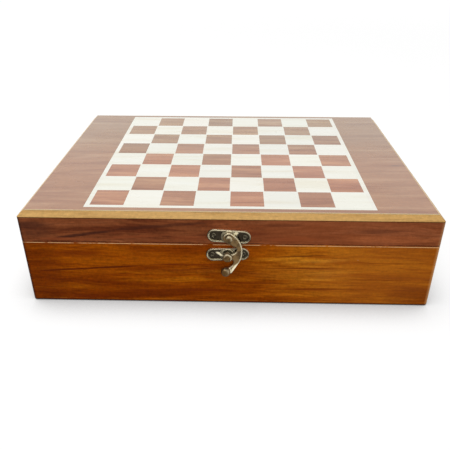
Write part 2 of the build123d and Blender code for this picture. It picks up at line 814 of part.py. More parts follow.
def dice():
    y = -inner_back + dice_well / 2
    x0 = (long_divider_right + inner_right) / 2 - dice_pitch * (len(dice_turns) - 1) / 2
    die = Box(dice_side, dice_side, dice_side)
    die = fillet(die.edges(), dice_round)
    return [
        Pos(x0 + n * dice_pitch, y, floor_top + dice_side / 2) * Rot(0, 0, turn) * die
        for n, turn in enumerate(dice_turns)
    ]


# ---------------------------------------------------------------- write the parts
def write_timber():
    case, lid = case_ring(), lid_ring()
    for side in ("front", "back", "left", "right"):
        save(f"case_{side}_wall", case & mitre_wedge(side))
        save(f"lid_{side}_rail", lid & mitre_wedge(side))
    save("case_bottom_panel", bottom_panel())
    save("case_floor_felt", lining(bottom_thickness))
    save("lid_top_panel", top_core())
    save("lid_felt", lining(lid_rail_top - felt))
    save("board_surround", surround())
    save("board_light_field", light_field())
    save("board_dark_squares", *dark_squares())


def write_dividers():
    save("long_divider", long_divider())
    save("chess_divider", chess_divider())
    for name in cross_divider_fronts():
        save(f"{name}_divider", cross_divider(name))


def write_hinges():
    for name, hinge_x in (("left", -hinge_offset), ("right", hinge_offset)):
        save(f"{name}_hinge_case_leaf", hinge_leaf(hinge_x, -1))
        save(f"{name}_hinge_lid_leaf", hinge_leaf(hinge_x, 1))
        save(f"{name}_hinge_pin", hinge_pin(hinge_x))
    for name, up in (("case", -1), ("lid", 1)):
        places = [p for x in (-hinge_offset, hinge_offset) for p in hinge_screw_places(x, up)]
        save(f"{name}_hinge_screws", *[place * flush_screw() for place in places])


def write_latch():
    save("latch_plate", latch_place * latch_plate())
    save("catch_plate", catch_place * latch_plate())
    save("swing_hook", hook_place * swing_hook())
    save("hook_rivet", hook_place * hook_rivet())
    save("catch_post", catch_place * catch_post())
    save("latch_plate_screws", *[place * latch_screw() for place in latch_screw_places(latch_place)])
    save("catch_plate_screws", *[place * latch_screw() for place in latch_screw_places(catch_place)])


def write_games():
    for colour, side in (("dark", 1), ("light", -1)):
        for kind, men in chess_rows(side).items():
            name = kind if len(men) == 1 else f"{kind}s"
            save(f"{colour}_{name}", *men)
        save(f"{colour}_draughts", *draughts(f"{colour}_draught"))
    save("dominoes", *dominoes())
    save("lower_card_pack", card_pack(0))
    save("upper_card_pack", card_pack(1))
    save("dice", *dice())


os.makedirs("parts", exist_ok=True)
write_timber()
write_dividers()
write_hinges()
write_latch()
write_games()
print(f"case {case_width:.1f} x {case_depth:.1f} x {board_top:.1f}, square {square:.2f}")
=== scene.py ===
"""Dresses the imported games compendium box: its timber, veneers, latch, hinges, linings and games."""

import logging
import math
import random
from dataclasses import dataclass
from enum import Enum
from typing import Any, Callable, Iterable, Sequence

import bmesh
import bpy
from mathutils import Matrix, Vector


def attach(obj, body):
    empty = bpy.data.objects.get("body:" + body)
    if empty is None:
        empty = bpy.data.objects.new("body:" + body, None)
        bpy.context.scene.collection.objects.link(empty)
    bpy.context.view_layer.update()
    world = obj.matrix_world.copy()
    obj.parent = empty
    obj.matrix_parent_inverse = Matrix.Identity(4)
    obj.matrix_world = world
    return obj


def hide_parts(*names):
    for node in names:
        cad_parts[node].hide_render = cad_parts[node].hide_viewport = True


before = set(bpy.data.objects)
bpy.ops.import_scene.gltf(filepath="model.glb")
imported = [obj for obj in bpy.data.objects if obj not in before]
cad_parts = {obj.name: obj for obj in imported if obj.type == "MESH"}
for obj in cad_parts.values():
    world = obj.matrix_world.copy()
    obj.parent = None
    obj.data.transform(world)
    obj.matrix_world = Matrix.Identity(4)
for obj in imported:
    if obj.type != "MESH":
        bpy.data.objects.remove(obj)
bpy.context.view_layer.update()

MM = 0.001
LOG = logging.getLogger("games_box")

Colour = tuple[float, float, float]
Point = tuple[float, float, float]
Spot = tuple[float, float]
Outline = Sequence[Spot]
Seats = list[tuple[Matrix, float]]
Node = bpy.types.Node
Socket = bpy.types.NodeSocket
Thing = bpy.types.Object
Finish = bpy.types.Material
Value = Socket | float | Sequence[float]
Inputs = dict[str, Socket]
Outputs = dict[str, Value]

HALF = (0.5, 0.5, 0.5)
WHITE = (1.0, 1.0, 1.0)
IN_PLACE = Matrix.Identity(4)


def shade(red: int, green: int, blue: int) -> Colour:
    """Gives the linear colour of a display colour.

    Args:
        red: Red from 0 to 255.
        green: Green from 0 to 255.
        blue: Blue from 0 to 255.

    Returns:
        The three linear channels.
    """

    def linear(value: int) -> float:
        """Turns one display channel linear."""
        part = value / 255
        return part / 12.92 if part <= 0.04045 else ((part + 0.055) / 1.055) ** 2.4

    return linear(red), linear(green), linear(blue)


def corners_of(node: str) -> tuple[Vector, Vector]:
    """Measures a CAD node at rest.

    Args:
        node: The node's name.

    Returns:
        Its lowest and its highest corner, in millimetres.
    """
    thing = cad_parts[node]
    places = [thing.matrix_world @ Vector(corner) / MM for corner in thing.bound_box]
    return Vector(map(min, zip(*places))), Vector(map(max, zip(*places)))


def middle_of(node: str) -> Vector:
    """Gives the middle of a CAD node at rest, in millimetres."""
    low, high = corners_of(node)
    return (low + high) / 2


bpy.context.view_layer.update()
SEAM = corners_of("case_front_wall")[1].z
RAIL_TOP = corners_of("lid_front_rail")[1].z
CORE_TOP = corners_of("lid_top_panel")[1].z
FRONT = -corners_of("case_front_wall")[0].y
CASE_WIDTH = corners_of("lid_top_panel")[1].x * 2
MARGIN_SIZE = corners_of("board_surround")[1] * 2


# ------------------------------------------------------------------ shader nodes


class Lay(Enum):
    """How one colour is laid on another."""

    OVER = "MIX"
    TINT = "MULTIPLY"


class NodeDesk:
    """Adds nodes to one node tree and joins them."""

    def __init__(self, tree: bpy.types.NodeTree) -> None:
        """Starts work on tree."""
        self.tree = tree

    def add(self, kind: str, **settings: Any) -> Node:
        """Adds a node.

        Args:
            kind: The node's type name without its ShaderNode prefix.
            settings: Attributes of the node to set.

        Returns:
            The new node.
        """
        node = self.tree.nodes.new("ShaderNode" + kind)
        for name, value in settings.items():
            setattr(node, name, value)
        return node

    def feed(self, socket: Socket, value: Value) -> None:
        """Joins an output to an input, or sets the input itself.

        Args:
            socket: The input.
            value: The output, or a plain number, vector or colour.
        """
        if isinstance(value, bpy.types.NodeSocket):
            self.tree.links.new(value, socket)
        elif socket.type == "RGBA" and hasattr(value, "__len__"):
            socket.default_value = (*value[:3], 1.0)
        else:
            socket.default_value = value

    def fill(self, node: Node, values: Outputs) -> None:
        """Joins or sets several inputs of a node by name."""
        for name, value in values.items():
            self.feed(node.inputs[name], value)

    def math(self, operation: str, *values: Value, clamp: bool = False) -> Socket:
        """Adds a Math node.

        Args:
            operation: What it does.
            values: The numbers it does it to.
            clamp: Whether its result is kept from 0 to 1.

        Returns:
            Its result.
        """
        node = self.add("Math", operation=operation, use_clamp=clamp)
        for socket, value in zip(node.inputs, values):
            self.feed(socket, value)
        return node.outputs[0]

    def plus(self, first: Value, second: Value) -> Socket:
        """Adds two numbers."""
        return self.math("ADD", first, second)

    def minus(self, first: Value, second: Value) -> Socket:
        """Takes the second number from the first."""
        return self.math("SUBTRACT", first, second)

    def times(self, first: Value, *others: Value) -> Socket:
        """Multiplies numbers in turn.

        Args:
            first: The first number.
            others: The others.

        Returns:
            Their product.
        """
        for other in others:
            first = self.math("MULTIPLY", first, other)
        return first

    def unsigned(self, value: Value) -> Socket:
        """Gives a number without its sign."""
        return self.math("ABSOLUTE", value)

    def swing(self, noise: Socket, amount: Value) -> Socket:
        """Turns a noise from 0 to 1 into a swing about 0, of amount in all."""
        return self.times(self.minus(noise, 0.5), amount)

    def vector(self, operation: str, *values: Value) -> Socket:
        """Adds a Vector Math node.

        Args:
            operation: What it does.
            values: The vectors it does it to.

        Returns:
            Its vector, or its number for a dot product or a length.
        """
        node = self.add("VectorMath", operation=operation)
        for socket, value in zip(node.inputs, values):
            self.feed(socket, value)
        return node.outputs["Value" if operation in ("DOT_PRODUCT", "LENGTH") else "Vector"]

    def stretch(self, place: Socket, features: Value) -> Socket:
        """Scales a place by its features per metre on each axis."""
        return self.vector("MULTIPLY", place, features)

    def blend(self, factor: Value, first: Value, second: Value, lay: Lay = Lay.OVER) -> Socket:
        """Lays one colour on another.

        Args:
            factor: How much of second shows.
            first: The colour underneath.
            second: The colour on top.
            lay: How it is laid.

        Returns:
            The mixed colour.
        """
        node = self.add("Mix", data_type="RGBA", blend_type=lay.value, clamp_factor=True)
        for socket, value in zip((node.inputs[0], node.inputs[6], node.inputs[7]), (factor, first, second)):
            self.feed(socket, value)
        return node.outputs[2]

    def step(self, value: Value, low: Value, high: Value, start: Value = 0.0, end: Value = 1.0) -> Socket:
        """Maps a number smoothly from one span onto another and keeps it there.

        Args:
            value: The number.
            low: Where the first span starts.
            high: Where it ends, which may be below low.
            start: What low becomes.
            end: What high becomes.

        Returns:
            The mapped number.
        """
        node = self.add("MapRange", interpolation_type="SMOOTHSTEP", clamp=True)
        for socket, item in zip(node.inputs, (value, low, high, start, end)):
            self.feed(socket, item)
        return node.outputs[0]

    def noise(
        self, place: Socket, scale: Value, detail: float = 2.0, rough: float = 0.5, twist: float = 0.0
    ) -> Socket:
        """Reads a noise.

        Args:
            place: Where it is read.
            scale: Its features for each unit of place.
            detail: How many finer layers it has.
            rough: How strong each finer layer is.
            twist: How far it is distorted.

        Returns:
            The noise's value, from 0 to 1.
        """
        node = self.add("TexNoise", noise_dimensions="3D")
        named = {"Vector": place, "Scale": scale, "Detail": detail, "Roughness": rough, "Distortion": twist}
        self.fill(node, named)
        return node.outputs[0]

    def split(self, place: Socket) -> tuple[Socket, Socket, Socket]:
        """Parts a vector into its three numbers.

        Args:
            place: The vector.

        Returns:
            Its X, Y and Z.
        """
        node = self.add("SeparateXYZ")
        self.feed(node.inputs[0], place)
        return node.outputs[0], node.outputs[1], node.outputs[2]

    def place(self) -> Socket:
        """Gives the place on the object, in metres in the frame at rest."""
        return self.add("TexCoord").outputs["Object"]


class Effect:
    """A shader node group that is built once and placed in each material with its own values."""

    title = "effect"
    takes: dict[str, tuple[str, Any]] = {}
    gives: dict[str, str] = {}
    built: dict[str, bpy.types.NodeTree] = {}

    def wire(self, desk: NodeDesk, given: Inputs) -> Outputs:
        """Builds the inside of the group from its inputs, and says what goes to each output."""
        raise NotImplementedError

    def tree(self) -> bpy.types.NodeTree:
        """Finds the group's tree, or builds it the first time it is asked for.

        Returns:
            The tree.
        """
        if self.title in Effect.built:
            return Effect.built[self.title]
        tree = bpy.data.node_groups.new(self.title, "ShaderNodeTree")
        for name, (kind, value) in self.takes.items():
            socket = tree.interface.new_socket(name, in_out="INPUT", socket_type="NodeSocket" + kind)
            if value is not None:
                socket.default_value = (*value, 1.0) if kind == "Color" else value
        for name, kind in self.gives.items():
            tree.interface.new_socket(name, in_out="OUTPUT", socket_type="NodeSocket" + kind)
        desk = NodeDesk(tree)
        enter, leave = tree.nodes.new("NodeGroupInput"), tree.nodes.new("NodeGroupOutput")
        desk.fill(leave, self.wire(desk, {name: enter.outputs[name] for name in self.takes}))
        Effect.built[self.title] = tree
        return tree

    def put(self, desk: NodeDesk, **values: Value) -> Inputs:
        """Places the group in a material.

        Args:
            desk: The material's desk.
            values: A value or an output for each input, with _ for each space in its name.

        Returns:
            The group's outputs by name.
        """
        node = desk.add("Group", node_tree=self.tree())
        desk.fill(node, {name.replace("_", " "): value for name, value in values.items()})
        return {name: node.outputs[name] for name in self.gives}


class WoodFigure(Effect):
    """Bands, streaks, fibres and pores of sawn timber or veneer."""

    title = "wood_figure"
    takes = {
        "Place": ("Vector", None),
        "Bands": ("Vector", (9.0, 105.0, 105.0)),
        "Streaks": ("Vector", (20.0, 380.0, 380.0)),
        "Fibres": ("Vector", (45.0, 1100.0, 1100.0)),
        "Wander": ("Vector", (0.006, 0.006, 0.006)),
        "Pale": ("Color", (0.5, 0.3, 0.1)),
        "Middle": ("Color", (0.3, 0.15, 0.05)),
        "Dark": ("Color", (0.1, 0.04, 0.01)),
        "Streak": ("Float", 0.6),
        "Fibre": ("Float", 0.6),
        "Fleck": ("Float", 0.3),
        "Pores": ("Float", 0.3),
    }
    gives = {"Color": "Color", "Height": "Float"}

    bends = 13.0                                    # slow bends of the grain, per metre
    flecks = (420.0, 420.0, 420.0)                  # flecks, per metre
    dark_at, middle_at, pale_at = 0.32, 0.50, 0.68  # where the bands' noise gives each tone
    hair_fineness = 2.6                             # of the pores, against the fibres
    pores_from, pores_full = 0.62, 0.72             # where the pores' noise starts and fills one
    fibre_height = 0.4

    def wire(self, desk: NodeDesk, given: Inputs) -> Outputs:
        """Stretches three noises along the grain and lets them wander across it.

        Args:
            desk: The desk of the group's own tree.
            given: The group's inputs by name.

        Returns:
            The colour, and the height of fibres and pores.
        """
        drift = desk.add("TexNoise", noise_dimensions="3D")
        desk.fill(drift, {"Vector": given["Place"], "Scale": self.bends})
        bend = desk.vector("SUBTRACT", drift.outputs["Color"], HALF)
        bent = desk.vector("MULTIPLY_ADD", bend, given["Wander"], given["Place"])
        bands = desk.noise(desk.stretch(bent, given["Bands"]), 1.0, 4.0, 0.55, 0.3)
        streaks = desk.noise(desk.stretch(bent, given["Streaks"]), 1.0, 2.0, 0.6)
        fibres = desk.noise(desk.stretch(bent, given["Fibres"]), 1.0, 2.0, 0.6)
        hairs = desk.noise(desk.stretch(bent, given["Fibres"]), self.hair_fineness, 1.0)
        flecks = desk.noise(desk.stretch(given["Place"], self.flecks), 1.0, 3.0, 0.75)
        tone = desk.plus(bands, desk.swing(streaks, given["Streak"]))
        base = desk.blend(desk.step(tone, self.dark_at, self.middle_at), given["Dark"], given["Middle"])
        base = desk.blend(desk.step(tone, self.middle_at, self.pale_at), base, given["Pale"])
        dapple = desk.plus(desk.swing(fibres, given["Fibre"]), desk.swing(flecks, given["Fleck"]))
        base = desk.blend(1.0, base, desk.plus(dapple, 1.0), Lay.TINT)
        pores = desk.times(desk.step(hairs, self.pores_from, self.pores_full), given["Pores"])
        height = desk.minus(desk.times(fibres, self.fibre_height), pores)
        return {"Color": desk.blend(pores, base, given["Dark"]), "Height": height}


class FrayedMark(Effect):
    """One long mark, frayed into fibres. It draws dark streaks, bright flames and knots in the timber,
    tarnish on the metal, and painted sheen, shadows and highlights.
    """

    title = "frayed_mark"
    takes = {
        "Place": ("Vector", None),
        "Centre": ("Vector", (0.0, 0.0, 0.0)),
        "Along": ("Vector", (50.0, 0.0, 0.0)),
        "Across": ("Vector", (0.0, 0.0, 300.0)),
        "Ragged": ("Float", 1.0),
    }
    gives = {"Mask": "Float"}

    frays = (28.0, 420.0, 420.0)    # frayed fibres, per metre
    bows = 22.0                     # bends of the mark, per metre
    fraying = 2.2                   # how far the fibres stray, against the bends
    full, gone = 0.1, 1.0           # squared distance where the mark starts to fade, and ends

    def wire(self, desk: NodeDesk, given: Inputs) -> Outputs:
        """Measures how near a place is to the mark's middle, and frays the edge along the grain.

        Args:
            desk: The desk of the group's own tree.
            given: The group's inputs by name.

        Returns:
            The mask of the mark.
        """
        offset = desk.vector("SUBTRACT", given["Place"], given["Centre"])
        along = desk.vector("DOT_PRODUCT", offset, given["Along"])
        across = desk.vector("DOT_PRODUCT", offset, given["Across"])
        fibres = desk.noise(desk.stretch(given["Place"], self.frays), 1.0, 4.0, 0.7)
        fray = desk.swing(fibres, given["Ragged"])
        bow = desk.swing(desk.noise(given["Place"], self.bows, 2.0), given["Ragged"])
        across = desk.plus(across, bow)
        near = desk.plus(desk.times(along, along), desk.times(across, across))
        near = desk.plus(near, desk.times(fray, self.fraying))
        return {"Mask": desk.minus(1.0, desk.step(near, self.full, self.gone))}


class TileTone(Effect):
    """A tint of its own for each square of an inlaid board."""

    title = "tile_tone"
    takes = {
        "Place": ("Vector", None),
        "Tile": ("Vector", (0.024, 0.024, 1.0)),
        "Spread": ("Vector", (0.1, 0.1, 0.1)),
    }
    gives = {"Tint": "Color"}

    hue_share = (0.35, 0.35, 0.35)  # how far the channels part, against how far all go up or down

    def wire(self, desk: NodeDesk, given: Inputs) -> Outputs:
        """Draws one random colour for each tile and keeps it near white.

        Args:
            desk: The desk of the group's own tree.
            given: The group's inputs by name.

        Returns:
            The tint to multiply by.
        """
        chance = desk.add("TexWhiteNoise", noise_dimensions="3D")
        desk.feed(chance.inputs["Vector"], desk.vector("SNAP", given["Place"], given["Tile"]))
        hue = desk.vector("SUBTRACT", chance.outputs["Color"], HALF)
        shared = desk.minus(chance.outputs["Value"], 0.5)
        swing = desk.vector("MULTIPLY_ADD", hue, self.hue_share, shared)
        return {"Tint": desk.vector("MULTIPLY_ADD", swing, given["Spread"], WHITE)}


class LevelLineMask(Effect):
    """A broken level line on the outside of upright faces, for the lines along the seam, the foot and the
    bevel, among them painted shade and painted highlights.
    """

    title = "level_line_mask"
    takes = {
        "Place": ("Vector", None),
        "Level": ("Float", 0.049),
        "Width": ("Float", 0.0005),
        "Gaps": ("Float", 0.5),
    }
    gives = {"Mask": "Float"}

    core = 0.45                     # share of the width that is fully rubbed
    breaks = 70.0                   # breaks in the line, per metre
    softness = 0.12                 # how softly a break starts, in the noise's values
    lying, upright = 0.75, 0.45     # how far a face may look up, from no line to a full one
    inner, outer = 0.0, 0.03        # how far a face looks away from the box's middle

    def wire(self, desk: NodeDesk, given: Inputs) -> Outputs:
        """Fades with the height above or below the level, and skips where the noise is low.

        Args:
            desk: The desk of the group's own tree.
            given: The group's inputs by name.

        Returns:
            The mask of the line.
        """
        far = desk.unsigned(desk.minus(desk.split(given["Place"])[2], given["Level"]))
        line = desk.minus(1.0, desk.step(far, desk.times(given["Width"], self.core), given["Width"]))
        low = desk.minus(given["Gaps"], self.softness / 2)
        worn = desk.noise(given["Place"], self.breaks, 4.0, 0.7)
        kept = desk.step(worn, low, desk.plus(low, self.softness))
        normal = desk.add("TexCoord").outputs["Normal"]
        standing = desk.step(desk.unsigned(desk.split(normal)[2]), self.lying, self.upright)
        outward = desk.step(desk.vector("DOT_PRODUCT", normal, given["Place"]), self.inner, self.outer)
        return {"Mask": desk.times(desk.times(line, kept), desk.times(standing, outward))}


class CornerTone(Effect):
    """The mask of the box's rounded upright corners at one end, where painted shade goes on the left and a
    painted highlight on the right.
    """

    title = "corner_tone"
    takes = {
        "Place": ("Vector", None),
        "Side": ("Float", 1.0),
        "End": ("Float", 0.142),
        "Front": ("Float", 0.1075),
    }
    gives = {"Mask": "Float"}

    reach = 0.0024                          # how far it reaches along the front
    shallow, deep = 0.0004, 0.0023          # how far it reaches round onto the end
    strength = 0.8

    def wire(self, desk: NodeDesk, given: Inputs) -> Outputs:
        """Keeps what is near the end and near the front or the back.

        Args:
            desk: The desk of the group's own tree.
            given: The group's inputs by name.

        Returns:
            The mask.
        """
        x, y, _ = desk.split(given["Place"])
        end, front = given["End"], given["Front"]
        along = desk.step(desk.times(x, given["Side"]), desk.minus(end, self.reach), end)
        edge = desk.minus(front, self.deep), desk.minus(front, self.shallow)
        across = desk.step(desk.unsigned(y), *edge)
        return {"Mask": desk.times(along, across, self.strength)}


class WornEdge(Effect):
    """Where a hard edge has lost its colour, and how far each place faces the light, which sets the painted
    light and shade on the metal.
    """

    title = "worn_edge"
    takes = {
        "Place": ("Vector", None),
        "Radius": ("Float", 0.0006),
        "Amount": ("Float", 1.0),
        "Break": ("Float", 260.0),
        "Light From": ("Vector", (0.55, -0.10, 0.83)),
    }
    gives = {"Mask": "Float", "Side": "Float"}

    level, sharp = 0.994, 0.93              # how well the rounded normal agrees on a flat and at an edge
    thin, whole, least = 0.3, 0.55, 0.5     # noise where wear is thin, where it is whole, and what stays

    def wire(self, desk: NodeDesk, given: Inputs) -> Outputs:
        """Finds edges where the rounded normal leaves the real one, and breaks them up.

        Args:
            desk: The desk of the group's own tree.
            given: The group's inputs by name.

        Returns:
            The mask of the worn edges, and the side each place faces.
        """
        rounded = desk.add("Bevel", samples=6)
        desk.feed(rounded.inputs["Radius"], given["Radius"])
        facing = desk.vector("DOT_PRODUCT", rounded.outputs[0], desk.add("NewGeometry").outputs["Normal"])
        edge = desk.step(facing, self.level, self.sharp)
        broken = desk.noise(given["Place"], given["Break"], 3.0, 0.6)
        kept = desk.step(broken, self.thin, self.whole, self.least, 1.0)
        own = desk.add("VectorTransform", vector_type="NORMAL", convert_from="WORLD", convert_to="OBJECT")
        desk.feed(own.inputs[0], rounded.outputs[0])
        return {
            "Mask": desk.math("MULTIPLY", desk.times(edge, kept), given["Amount"], clamp=True),
            "Side": desk.vector("DOT_PRODUCT", own.outputs[0], given["Light From"]),
        }


class LacquerSkin(Effect):
    """Slight waves, dulled patches and trapped specks in a lacquered surface."""

    title = "lacquer_skin"
    takes = {"Place": ("Vector", None), "Roughness": ("Float", 0.25), "Specks": ("Float", 0.5)}
    gives = {"Roughness": "Float", "Height": "Float", "Speck Mask": "Float"}

    dull_patches, waves, cells = 35.0, 420.0, 55.0      # per metre
    smooth, hazy = 0.3, 0.75                            # noise of a polished patch, and of a dulled one
    polished, dulled = -0.04, 0.10                      # how they change the roughness
    speck_rim, speck_core = 0.020, 0.012                # in cells
    rare, sure = 0.80, 0.82                             # cells below rare hold no speck

    def wire(self, desk: NodeDesk, given: Inputs) -> Outputs:
        """Reads one slow noise for dullness, a finer one for waves and a cell pattern for specks.

        Args:
            desk: The desk of the group's own tree.
            given: The group's inputs by name.

        Returns:
            The roughness, the height of the waves and the mask of the specks.
        """
        dull = desk.noise(given["Place"], self.dull_patches, 3.0, 0.6)
        change = desk.step(dull, self.smooth, self.hazy, self.polished, self.dulled)
        waves = desk.noise(given["Place"], self.waves, 1.0)
        cells = desk.add("TexVoronoi", feature="F1")
        desk.fill(cells, {"Vector": given["Place"], "Scale": self.cells})
        dot = desk.step(cells.outputs["Distance"], self.speck_rim, self.speck_core)
        draw = desk.vector("DOT_PRODUCT", cells.outputs["Color"], (1.0, 0.0, 0.0))
        chosen = desk.step(draw, self.rare, self.sure)
        return {
            "Roughness": desk.plus(given["Roughness"], change),
            "Height": waves,
            "Speck Mask": desk.times(dot, chosen, given["Specks"]),
        }


class MetalSkin(Effect):
    """Cast or stamped metal with a dark patina, mottled and finely pitted, with painted light and shade by
    the side each face turns to.
    """

    title = "metal_skin"
    takes = {
        "Place": ("Vector", None),
        "Body": ("Color", (0.3, 0.24, 0.15)),
        "Patina": ("Color", (0.06, 0.05, 0.04)),
        "Bright": ("Color", (0.8, 0.65, 0.4)),
        "Worn": ("Float", 0.0),
        "Side": ("Float", 0.0),
        "Sunk": ("Float", 0.0),
        "Handled": ("Float", 0.5),
        "Roughness": ("Float", 0.35),
    }
    gives = {"Color": "Color", "Roughness": "Float", "Height": "Float"}

    patches, pits = 330.0, 1900.0           # per metre
    clean, aged = 0.40, 0.66                # noise of bare metal, and of a patch of patina
    patina_share = 0.65                     # how much of the patina such a patch has
    shaded_side = (-0.10, -0.70)              # Side where the patina tone starts as painted shade, and where it is whole
    side_light = (0.20, 0.95)                  # Side where the painted highlight starts, and where it is brightest
    dark_edge = (0.0, -0.35)                # Side where a worn edge starts to darken with painted shade, and where it is darkest
    dark_share = 0.85
    bright_edge = (-0.08, 0.25)             # Side where a worn edge starts to shine with a painted highlight, and where it is bare
    patch_roughness, worn_polish = 0.2, 0.12

    def wire(self, desk: NodeDesk, given: Inputs) -> Outputs:
        """Lays patina in patches and hollows, painted shade on the sides turned from the light and a painted
        highlight on those turned to it, and bright metal on worn edges that face the light.

        Args:
            desk: The desk of the group's own tree.
            given: The group's inputs by name.

        Returns:
            The colour, the roughness and the height of the pits.
        """
        side, patina, bright = given["Side"], given["Patina"], given["Bright"]
        # painted shade on the sides turned from the light, and a painted highlight on those turned to it
        side_shade = desk.times(desk.step(side, *self.shaded_side), given["Handled"])
        brightened = desk.times(desk.step(side, *self.side_light), given["Handled"])
        mottle = desk.noise(given["Place"], self.patches, 4.0, 0.6)
        patch = desk.step(mottle, self.clean, self.aged, 0.0, self.patina_share)
        colour = desk.blend(patch, given["Body"], patina)
        colour = desk.blend(given["Sunk"], colour, patina)
        colour = desk.blend(side_shade, colour, patina)
        colour = desk.blend(brightened, colour, bright)
        # painted shade on worn edges turned from the light
        dulled = desk.times(given["Worn"], desk.step(side, *self.dark_edge, 0.0, self.dark_share))
        colour = desk.blend(dulled, colour, patina)
        # worn edges turned to the light: bare metal shown as a painted highlight
        worn = desk.times(given["Worn"], desk.step(side, *self.bright_edge))
        rough = desk.plus(given["Roughness"], desk.times(patch, self.patch_roughness))
        return {
            "Color": desk.blend(worn, colour, bright),
            "Roughness": desk.minus(rough, desk.times(given["Worn"], self.worn_polish)),
            "Height": desk.noise(given["Place"], self.pits, 2.0),
        }


class FeltNap(Effect):
    """Matted fibres of felt."""

    title = "felt_nap"
    takes = {
        "Place": ("Vector", None),
        "Deep": ("Color", (0.01, 0.05, 0.02)),
        "Pale": ("Color", (0.04, 0.14, 0.07)),
    }
    gives = {"Color": "Color", "Height": "Float"}

    fibres, tufts = 2600.0, 160.0   # per metre
    fibre_share, tuft_share = 0.7, 0.3
    hollow, raised = 0.35, 0.65     # mixed noise that is deep in tone, and pale

    def wire(self, desk: NodeDesk, given: Inputs) -> Outputs:
        """Mixes two tones by a coarse and a fine tangle.

        Args:
            desk: The desk of the group's own tree.
            given: The group's inputs by name.

        Returns:
            The colour and the height of the fibres.
        """
        tangle = desk.noise(given["Place"], self.fibres, 3.0, 0.7, 1.5)
        tufts = desk.noise(given["Place"], self.tufts, 3.0, 0.6)
        tone = desk.plus(desk.times(tangle, self.fibre_share), desk.times(tufts, self.tuft_share))
        colour = desk.blend(desk.step(tone, self.hollow, self.raised), given["Deep"], given["Pale"])
        return {"Color": colour, "Height": tangle}


class ResinCloud(Effect):
    """The slight clouds of cast resin."""

    title = "resin_cloud"
    takes = {
        "Place": ("Vector", None),
        "Tone": ("Color", (0.8, 0.75, 0.6)),
        "Cloud": ("Color", (0.7, 0.65, 0.5)),
    }
    gives = {"Color": "Color"}

    clouds = 90.0               # per metre
    clear, full = 0.35, 0.7     # noise where a cloud starts and where it is full

    def wire(self, desk: NodeDesk, given: Inputs) -> Outputs:
        """Drifts from one tone to the other."""
        cloud = desk.step(desk.noise(given["Place"], self.clouds, 4.0, 0.6), self.clear, self.full)
        return {"Color": desk.blend(cloud, given["Tone"], given["Cloud"])}


class CutEdges(Effect):
    """The fine level lines of a pack's cut edges, with painted shade between the cards."""

    title = "cut_edges"
    takes = {
        "Place": ("Vector", None),
        "Stock": ("Color", (0.85, 0.82, 0.75)),
        "Gap": ("Color", (0.55, 0.5, 0.45)),
    }
    gives = {"Color": "Color"}

    layers = (20.0, 20.0, 6000.0)   # features of the lines, per metre
    between, card = 0.35, 0.65      # noise of the painted shade between two cards, and of a card

    def wire(self, desk: NodeDesk, given: Inputs) -> Outputs:
        """Colours the layers of a flattened noise in turn."""
        lines = desk.noise(desk.stretch(given["Place"], self.layers), 1.0, 2.0)
        return {"Color": desk.blend(desk.step(lines, self.between, self.card), given["Gap"], given["Stock"])}


class CardTrellis(Effect):
    """A pale diamond trellis on an inked ground, inside a plain border."""

    title = "card_trellis"
    takes = {
        "Place": ("Vector", None),
        "Middle": ("Vector", (0.0, 0.0, 0.0)),
        "Inside": ("Vector", (0.04, 0.027, 0.0)),
        "Pitch": ("Float", 0.0064),
    }
    gives = {"Ink": "Float"}

    line_edge, line_end = 0.13, 0.19    # wave heights between a bare line and full ink
    dot_edge, dot_full = 0.94, 0.97     # wave heights between full ink and a bare dot
    border_blur = 0.0001

    def wire(self, desk: NodeDesk, given: Inputs) -> Outputs:
        """Leaves crossing diagonal lines and a dot in each diamond bare.

        Args:
            desk: The desk of the group's own tree.
            given: The group's inputs by name.

        Returns:
            The mask of the ink.
        """
        u, v, _ = desk.split(desk.vector("SUBTRACT", given["Place"], given["Middle"]))
        waves = []
        for slant in (desk.plus(u, v), desk.minus(u, v)):
            turns = desk.times(slant, desk.math("DIVIDE", math.pi, given["Pitch"]))
            waves.append(desk.unsigned(desk.math("SINE", turns)))
        nearest = desk.math("MINIMUM", *waves)
        lines = desk.step(nearest, self.line_edge, self.line_end)
        dots = desk.step(nearest, self.dot_edge, self.dot_full)
        masks = [desk.math("SUBTRACT", lines, dots, clamp=True)]
        for offset, half in zip((u, v), desk.split(given["Inside"])):
            edge = desk.plus(half, self.border_blur), desk.minus(half, self.border_blur)
            masks.append(desk.step(desk.unsigned(offset), *edge))
        return {"Ink": desk.times(*masks)}


# ------------------------------------------------------------------ finishes


class Grain(Enum):
    """Which way a board's grain runs: the number of the axis."""

    SIDEWAYS = 0
    FRONT_TO_BACK = 1

    def features(self, along: float, across: float) -> list[float]:
        """Gives a figure's features per metre on the three axes."""
        return [along if axis == self.value else across for axis in range(3)]


class Face(Enum):
    """The face a mark lies on: the number of the axis that runs up it."""

    FRONT = 2
    TOP = 1


